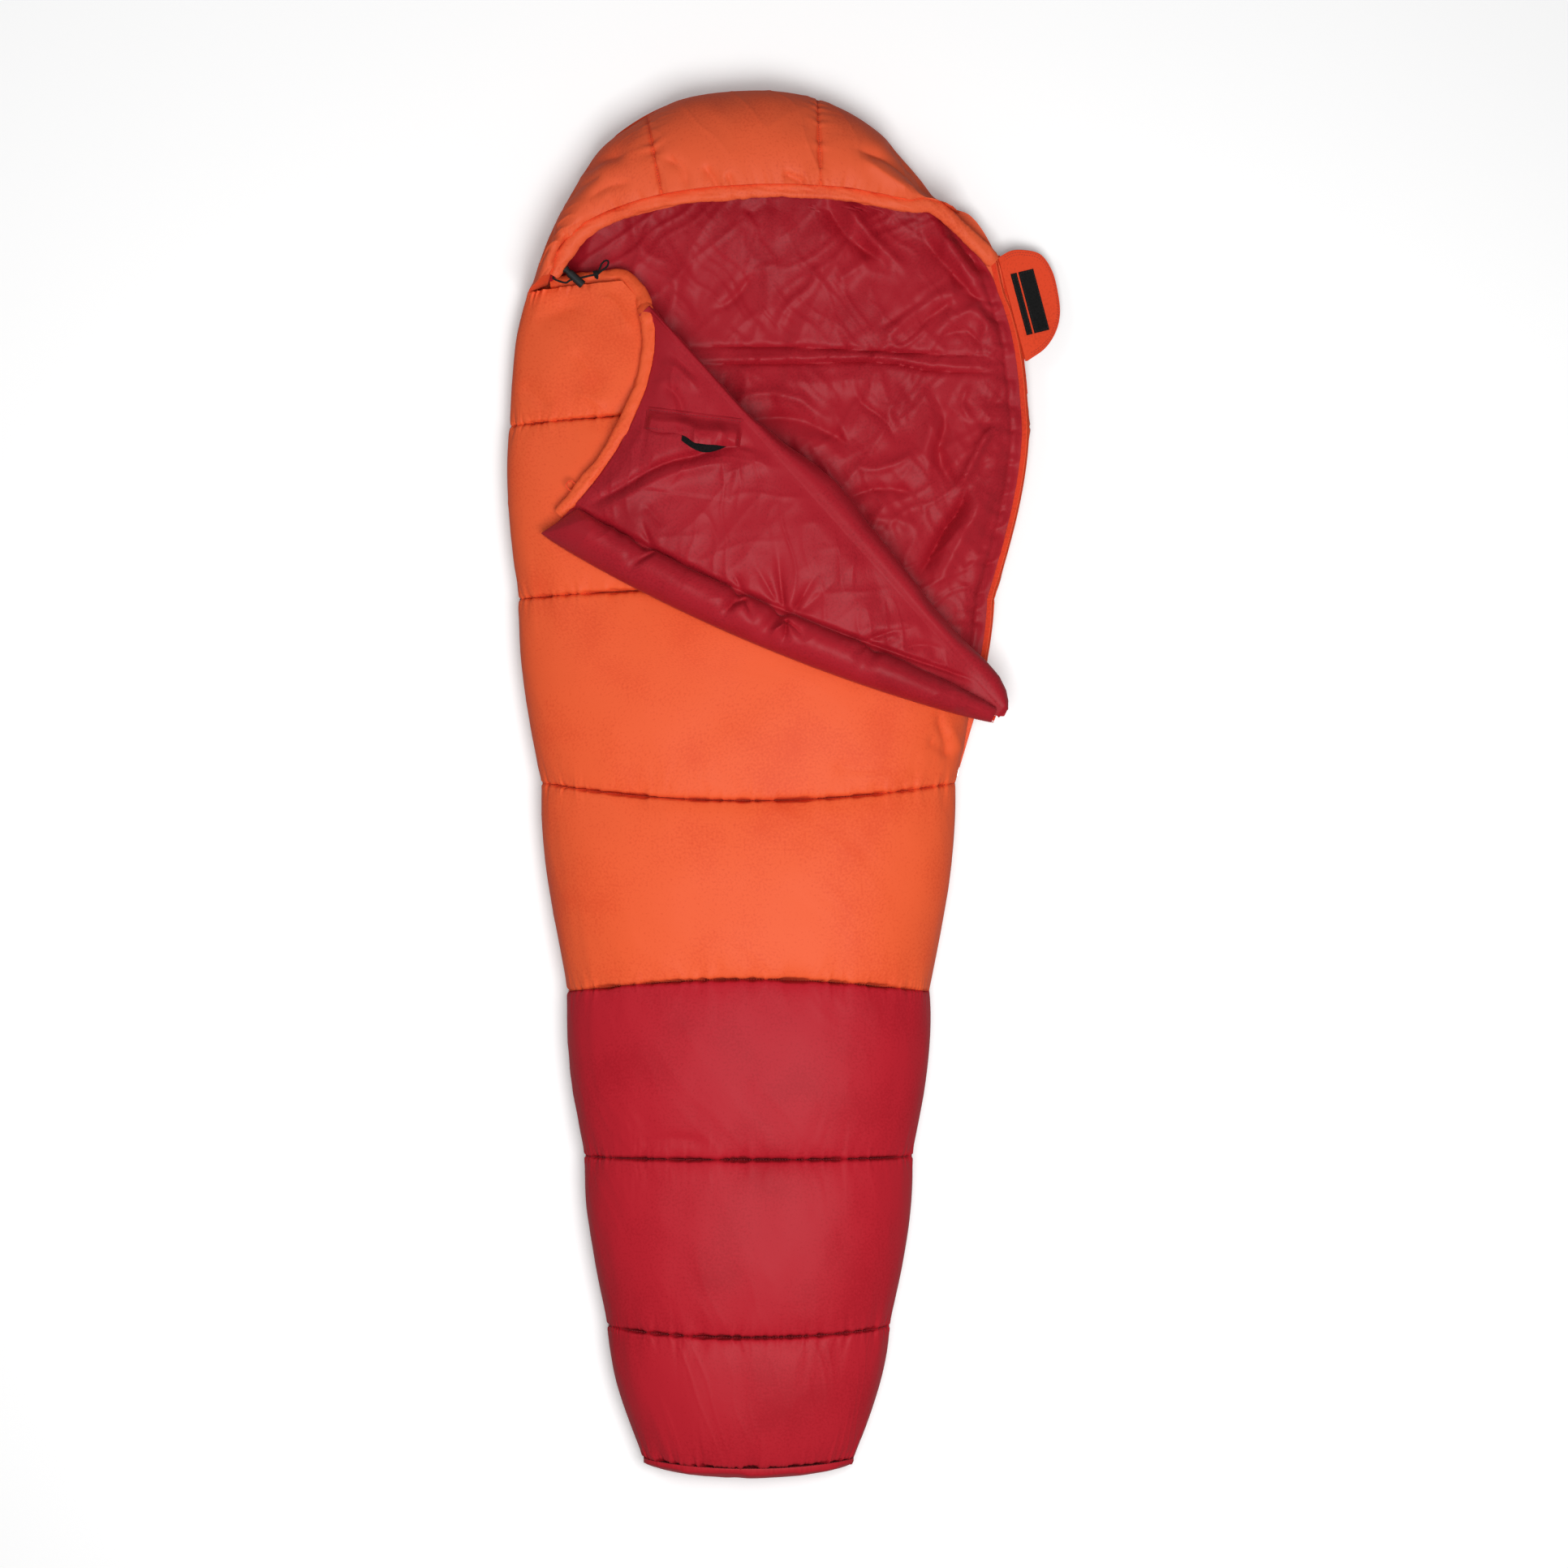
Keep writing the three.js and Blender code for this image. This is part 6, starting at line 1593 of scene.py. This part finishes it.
@dataclass
class Zip:
    """The side zip: its open halves, the closed run below the slider, and the metal parts."""

    dresser: Dresser
    nodes: dict[str, bpy.types.Object]
    hood: Hood
    tape_wide: float = 12.0
    tape_thick: float = 1.2
    coil_radius: float = 1.7
    coil_pitch: float = 2.2
    sewn: tuple[float, float] = (0.01, 0.985)  # shares of the corner's edge
    open_to: float = 0.34  # share of the third chamber
    shut_from: tuple[float, float] = (327.0, 45.0)
    shut_to: tuple[float, float] = (280.0, -315.0)

    def rim_line(self) -> Grid:
        """The open edge of the back, from the top of the zip down."""
        places = [self.hood.zip_top]
        for i in range(3):  # to the open part's end, in the third chamber
            v = np.linspace(0, 1, 9)[: 4 if i == 2 else 9]
            half = PLAN.at(PLAN.half, i, v) + PLAN.swell(v) + PLAN.at(PLAN.spread, i, v)
            rows = np.stack([half, PLAN.at(PLAN.seam_y, i, v), 0 * v], -1)
            places.extend(rows[:-1] if i < 2 else rows)
        line = smooth_line(places, 500)
        return line[line[:, 1] > PLAN.at(PLAN.seam_y, 2, self.open_to)]

    def build(self) -> None:
        """Makes and dresses the zip."""
        self._flap_half()
        self._back_half()
        self._closed()
        for name in ("zip_slider", "zip_puller", "zip_top_stop", "zip_bottom_stop"):
            self.dresser.coat(self.nodes[name], ZIP_METAL, 0.3)

    def _flap_half(self) -> None:
        """Tape and coil along the turned-back edge."""
        u, v = share_grid(8, 300)
        plan = FLAP.zip_edge(lerp(*self.sewn, v), lerp(self.tape_wide, 2 * self.coil_radius + 0.3, u))
        base = FLAP.under(plan[..., 0], plan[..., 1]) + self.coil_radius + 0.25 * (noise(v * 90, u, 611) - 0.5)
        half = self.tape_thick / 2
        piece = closed_pad("corner_zip_tape", on_flap(plan, base + half), on_flap(plan, base - half))
        self.dresser.dress(piece, ZIP_TAPE, body="flap", slot="zip_tape", replaced=("flap_zip_tape",))
        plan = FLAP.zip_edge(np.linspace(*self.sewn, 400), self.coil_radius)
        line = on_flap(plan, FLAP.under(plan[..., 0], plan[..., 1]) + self.coil_radius)
        piece = tube("corner_zip_coil", coil_line(line, self.coil_radius - 0.4, self.coil_pitch), 0.4, 4)
        self.dresser.dress(piece, ZIP_COIL, body="flap", slot="zip_coil", replaced=("flap_zip_coil",))

    def _back_half(self) -> None:
        """Tape and coil along the open back."""
        line = self.rim_line()
        u = np.linspace(0, 1, 8)[None, :]
        inset = lerp(self.tape_wide, 2 * self.coil_radius + 0.9, u)
        x = line[:, :1] - inset
        y = line[:, 1:2] + 0 * u
        z = PLAN.level + 0.15 + 0.5 * noise(y / 14, inset / 9, 621)
        low = np.stack([x, y, z], -1)
        piece = closed_pad("open_zip_tape", low + np.array([0, 0, self.tape_thick]), low)
        self.dresser.dress(piece, ZIP_TAPE, slot="zip_tape", replaced=("back_zip_tape",))
        middle = line.copy()
        middle[:, 0] -= self.coil_radius
        middle[:, 2] = PLAN.level + 0.15 + self.coil_radius
        piece = tube("open_zip_coil", coil_line(middle, self.coil_radius - 0.4, self.coil_pitch), 0.4, 4)
        self.dresser.dress(piece, ZIP_COIL, slot="zip_coil", replaced=("back_zip_coil",))

    def _closed(self) -> None:
        """The joined tapes and chain in the side seam."""
        start, end = np.array([*self.shut_from, PLAN.level]), np.array([*self.shut_to, PLAN.level])
        run = (end - start) / np.linalg.norm(end - start)
        out = np.array([-run[1], run[0], 0.0])
        wide = self.tape_wide
        t, w = np.meshgrid(np.linspace(0, 1, 220), np.linspace(-wide, wide, 14), indexing="ij")
        base = start + (end - start) * t[..., None] + UP * w[..., None]
        low = base + out * -8.7  # in the side seam, behind the chain
        piece = closed_pad("closed_zip_tapes", low + out * 1.3, low)
        self.dresser.dress(piece, ZIP_TAPE, slot="zip_tape", replaced=("closed_zip_tape",))
        line = start + (end - run * 5 - start) * np.linspace(0, 1, 200)[:, None] + out * -5.9
        wound = coil_line(line, 1.0, self.coil_pitch)
        across = (wound - resample(line, len(wound))) @ UP
        wound[:, 2] += 1.6 * np.sign(across)
        piece = tube("closed_zip_coils", wound, 0.45, 4)
        self.dresser.dress(piece, ZIP_COIL, slot="zip_coil", replaced=("closed_zip_chain",))


# ---------------------------------------------------------------------------
# Hook-and-loop tab


@dataclass
class Tab:
    """The tab that closes over the zip's top, lying open with its hooks up."""

    dresser: Dresser
    hood: Hood
    long: float = 168.0
    deep: float = 77.0
    thick: float = 3.0
    hem_to: float = 606.0
    droop: float = math.radians(15)
    lean: float = math.radians(14.9)
    outline: tuple[tuple[float, float], ...] = (
        (0.002, 0.005), (-0.027, 0.256), (-0.01, 0.497), (0.068, 0.838), (0.229, 0.988), (0.455, 0.995),
        (0.654, 0.917), (0.801, 0.738), (0.923, 0.435), (0.998, 0.005),
    )

    def _place(self, along: Grid, out: Grid, up: Grid | float) -> Grid:
        """Bag places for distances on the tab."""
        top = self.hood.zip_top
        root = np.array([math.sin(self.lean), -math.cos(self.lean), 0.0])
        outward = np.array([math.cos(self.lean), math.sin(self.lean), 0.0])
        origin = np.array([top[0], top[1] + self.thick, PLAN.level + 1.2]) + outward * 3.6
        along, out, up = np.broadcast_arrays(along, out, up)
        y = out * math.cos(self.droop) + up * math.sin(self.droop)
        z = up * math.cos(self.droop) - out * math.sin(self.droop)
        return origin + root * along[..., None] + outward * y[..., None] + UP * z[..., None]

    def _edge(self, t: Grid) -> Grid:
        """The outline at shares t of its length."""
        line = smooth_line([(a * self.long, o * self.deep, 0) for a, o in self.outline], 300)[:, :2]
        return line_at(line, t)

    def build(self) -> None:
        """Makes and dresses the tab."""
        u, v = share_grid(121, 61)
        root = np.stack([lerp(0.004, 0.996, ease(u, 0, 1)) * self.long, -2.9 + 0 * u], -1)
        plan = lerp(root, self._edge(u), v[..., None])
        rim = np.minimum(1.0, (1 - v) * 14 + 0.25)
        round_off = self.thick / 2 * np.sqrt(np.clip(rim, 0, 1))
        pad = 0.5 * soft(plan[..., 0], plan[..., 1], 34, 701) * ease(1 - v, 0, 0.2) * 0.6
        top = self._place(plan[..., 0], plan[..., 1], round_off + pad * 0.6)
        low = self._place(plan[..., 0], plan[..., 1], -round_off + pad * 0.2)
        piece = closed_pad("tab_cloth", top, low)
        self.dresser.dress(piece, TAB_CLOTH, body="tab", slot="zip_tape", replaced=("zip_tab",))
        t = np.linspace(0.02, 0.98, 120)
        middle = np.array([self.long * 0.48, self.deep * 0.4])
        for k, share in enumerate((0.945, 0.9)):
            self._sew(f"tab_edge_stitches_{k + 1}", lerp(middle, self._edge(t), share))
        self._strip("wide", 34.5, 25.0)
        self._strip("narrow", 14.0, 10.0)
        self._hem()

    def _hem(self) -> None:
        """The hem that the tab is sewn to: out past the back's edge, then down round it."""
        rim_line = Zip(self.dresser, {}, self.hood).rim_line()
        part = rim_line[(rim_line[:, 1] < rim_line[0, 1]) & (rim_line[:, 1] > self.hem_to)]
        part = np.concatenate([part[:1] + np.array([-3.0, 7.0, 0]), resample(part, 60)])
        reach = np.array([5.2, 4.2, 2.7, 1.2, 0, 0, 0, 0, 0, 0]) * ease(part[:, 1:2], 655, 672) + 0.3
        drop = np.array([2.6, 2.6, 2.6, 2.6, 3.2, 4.5, 6, 7.5, 9, 11])
        low = np.stack(
            [part[:, :1] + reach, part[:, 1:2] + 0 * reach, PLAN.level - drop[None, :] + 0 * part[:, :1]], -1
        )
        piece = closed_pad("tab_hem_tape", low + np.array([0.8, 0, 1.1]), low)
        self.dresser.dress(piece, ZIP_TAPE, slot="zip_tape", replaced=("tab_hem",))

    def _sew(self, name: str, line: Grid) -> None:
        """A row of stitches on the tab."""
        places = self._place(line[:, 0], line[:, 1], self.thick / 2 + 0.15)
        self.dresser.dress(stitches(name, places), STITCH_ORANGE, body="tab", slot="zip_tape")

    def _strip(self, name: str, out: float, wide: float) -> None:
        """A sewn strip of hook tape."""
        u, v = np.meshgrid(np.linspace(-1, 1, 60), np.linspace(-1, 1, 16))
        along, across = 80 + 49 * u, out + wide / 2 * v
        edge = np.sqrt(np.clip(np.minimum((1 - np.abs(u)) * 24, (1 - np.abs(v)) * 7) + 0.3, 0, 1))
        low = self._place(along, across, self.thick / 2 + 0.25)
        top = self._place(along, across, self.thick / 2 + 0.25 + 1.6 * edge)
        piece = closed_pad(f"hook_strip_{name}_tape", top, low)
        self.dresser.dress(piece, HOOK_TAPE, body="tab", slot="hook_tape", replaced=(f"tab_hook_strip_{name}",))
        x, y = 46.5, wide / 2 - 2  # the stitches run 2 mm in from the strip's edge
        corners = [(80 + a * x, out + b * y) for a, b in ((-1, -1), (1, -1), (1, 1), (-1, 1), (-1, -1))]
        line = self._place(*resample(corners, 200).T, self.thick / 2 + 1.95)
        self.dresser.dress(stitches(f"hook_strip_{name}_stitches", line), LOCK_PLASTIC, body="tab", slot="hook_tape")


# ---------------------------------------------------------------------------
# Drawcord


@dataclass
class Drawcord:
    """The doubled drawcord's free loop, its knot, and the sprung lock on it. Places are frame millimetres."""

    dresser: Dresser
    nodes: dict[str, bpy.types.Object]
    radius: float = 1.5
    lock_axis: tuple[float, float, float] = (0.74314, -0.66913, 0.0)
    knot: tuple[float, float, float] = (-287.66, 787.03, 98.35)
    cord_axis: tuple[float, float, float] = (0.97437, 0.22495, 0.0)
    strand: tuple[tuple[float, float], ...] = (
        (-354.94, 783.13), (-356.3, 780.8), (-336.23, 773.58), (-330.28, 777.19), (-325.22, 778.36),
        (-320.78, 779.39), (-309.19, 782.06), (-297.59, 784.74), (-287.66, 787.03),
    )
    loop: tuple[tuple[float, float, float], ...] = (
        (-284.74, 793.97, 97.57), (-281.44, 802.57, 95.75), (-276.12, 807.67, 93.15), (-271.86, 807.69, 92.11),
        (-271.26, 803.3, 92.63), (-274.96, 796.97, 94.71), (-281.8, 791.73, 97.05),
    )

    @property
    def route(self) -> list[tuple[float, float, float]]:
        """Out along the upper strand to the knot, round the loop past it, and back along the lower strand."""
        upper, lower = ([(x, y, z) for x, y in self.strand] for z in (100.15, 96.55))
        return [*upper, *self.loop, *lower[::-1]]

    def build(self) -> None:
        """Makes and dresses the cord and what is on it."""
        line = smooth_line(self.route, 200) + SHIFT
        cord = tube("drawcord_loop", line, self.radius, 10)
        self.dresser.dress(cord, CORD_BRAID, slot="cord", replaced=("drawcord_free_end",))
        knot = self._knot()
        barrel, plunger = self.nodes["cord_lock_barrel"], self.nodes["cord_lock_plunger"]
        for node in (barrel, plunger):
            self.dresser.coat(node, LOCK_PLASTIC, 0.5)
        spring = self._spring()

    def _knot(self) -> bpy.types.Object:
        """An overhand knot: two turns round both strands and one crossing over them."""
        axis = np.array(self.cord_axis)
        side = np.array([-axis[1], axis[0], 0.0])
        middle = np.array(self.knot) - axis * 2.4
        turn = np.linspace(0, 4.4 * math.pi, 90)
        along = lerp(-2.9, 2.9, turn / turn[-1])
        reach = np.full_like(turn, 5.0)
        back = np.linspace(0, 1.3 * math.pi, 30)[1:]
        turn = np.concatenate([turn, turn[-1] + back])
        along = np.concatenate([along, lerp(2.9, -2.6, back / back[-1])])
        reach = np.concatenate([reach, 5.0 + 2.2 * np.sin(math.pi * np.clip(back / back[-1], 0, 1)) ** 0.6])
        line = middle + axis * along[:, None] + reach[:, None] * (
            side * (0.92 * np.cos(turn))[:, None] + UP * np.sin(turn)[:, None]
        )
        piece = tube("overhand_knot", line + SHIFT, 1.55, 10)
        self.dresser.dress(piece, CORD_BRAID, slot="cord", replaced=("drawcord_knot",))
        return piece

    def _spring(self) -> bpy.types.Object:
        """The wound spring under the plunger."""
        axis = np.array(self.lock_axis)
        low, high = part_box("cord_lock_spring")
        middle = (np.array(low) + np.array(high)) / 2 / MM
        reach = float(abs((np.array(high) - np.array(low)) / MM @ np.abs(axis))) / 2
        half = max(1.5, reach - 3.4 * 2 * abs(axis[0] * axis[1]))
        line = np.stack([middle - axis * half, middle + axis * half])
        wound = coil_line(resample(line, 40), 2.9, 1.6, 14)
        piece = tube("lock_spring_wire", wound + SHIFT, 0.4, 6)
        self.dresser.dress(piece, SPRING_WIRE, body="cord_lock", replaced=("cord_lock_spring",))
        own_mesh(piece)
        return piece


# ---------------------------------------------------------------------------
# Studio


class Studio:
    """The floor, the lights and the camera over the bag."""

    camera_height = 10.179
    lens = 150.0

    def build(self) -> None:
        """Sets the stage."""
        self._floor()
        self._world()
        self._lights()
        self._camera()
        bpy.context.scene.view_settings.view_transform = "Standard"

    def _floor(self) -> None:
        """A wide pale floor that keeps the bag's shadow."""
        data = bpy.data.meshes.new("studio_floor")
        data.from_pydata([(-9, -9, 0), (9, -9, 0), (9, 9, 0), (-9, 9, 0)], [], [(0, 1, 2, 3)])
        floor = bpy.data.objects.new("studio_floor", data)
        bpy.context.scene.collection.objects.link(floor)
        material, tree, shader = new_material("Pale matte studio floor")
        path = add_node(tree, "LightPath")
        tone = add_node(tree, "MapRange", {"Value": path.outputs["Is Camera Ray"]}, To_Min=0.35, To_Max=1.0)
        glow = add_node(tree, "MapRange", {"Value": path.outputs["Is Camera Ray"]}, To_Min=0.0, To_Max=0.16)
        set_node(
            tree, shader, {"Base Color": tone.outputs["Result"], "Emission Strength": glow.outputs["Result"]},
            Emission_Color=(1, 1, 1, 1), Roughness=0.9, Specular_IOR_Level=0.1,
        )
        data.materials.append(material)

    def _world(self) -> None:
        """White for the camera and in reflections, a plain grey level of light."""
        world = bpy.data.worlds.new("studio")
        bpy.context.scene.world = world
        world.use_nodes = True
        tree = world.node_tree
        path = add_node(tree, "LightPath")
        seen = add_node(
            tree, "Math", {0: path.outputs["Is Camera Ray"], 1: path.outputs["Is Glossy Ray"]},
            operation="MAXIMUM",
        )
        seen = add_node(tree, "Math", {0: seen.outputs[0], 1: path.outputs["Is Transmission Ray"]}, operation="MAXIMUM")
        level = add_node(tree, "MapRange", {"Value": seen.outputs[0]}, To_Min=0.2, To_Max=1.0)
        set_node(tree, tree.nodes["Background"], {"Strength": level.outputs["Result"]}, Color=(1, 1, 1, 1))

    def _lights(self) -> None:
        """A broad soft light overhead and a weaker one from the upper left."""
        for name, place, size, power in (
            ("overhead_light", (0.45, -0.7, 3.9), 2.0, 126.0),
            ("side_light", (-2.2, 1.4, 2.6), 1.4, 12.0),
        ):
            data = bpy.data.lights.new(name, "AREA")
            data.shape = "SQUARE"
            data.size = size
            data.energy = power
            light = bpy.data.objects.new(name, data)
            bpy.context.scene.collection.objects.link(light)
            light.location = place
            aim = np.array([0, 0, 0.1]) - np.array(place)
            light.rotation_euler = (
                math.atan2(math.hypot(aim[0], aim[1]), -aim[2]), 0.0, math.atan2(aim[1], aim[0]) - math.pi / 2
            )

    def _camera(self) -> None:
        """Straight down, the hood at the top."""
        data = bpy.data.cameras.new("camera")
        data.lens = self.lens
        data.sensor_width = 36.0
        data.clip_end = 60.0
        camera = bpy.data.objects.new("camera", data)
        bpy.context.scene.collection.objects.link(camera)
        camera.location = (0.0, 0.0, self.camera_height)
        camera.rotation_euler = (0.0, 0.0, 0.0)
        bpy.context.scene.camera = camera


def main() -> None:
    """Dresses the bag and sets the studio."""
    logging.basicConfig(level=logging.INFO, format="%(message)s")
    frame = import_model()
    bpy.ops.object.select_all(action="DESELECT")
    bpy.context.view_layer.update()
    dresser = Dresser()
    Studio().build()
    nodes = frame["nodes"]
    Drawcord(dresser, nodes).build()
    hood = Hood(dresser)
    Body(dresser).build()
    hood.build()
    BodyLining(dresser, hood).build()
    Channels(dresser, hood, FLAP).build()
    Corner(dresser).build()
    Pocket(dresser).build()
    Zip(dresser, nodes, hood).build()
    Tab(dresser, hood).build()
    bpy.context.view_layer.update()


if __name__ == "__main__":
    main()
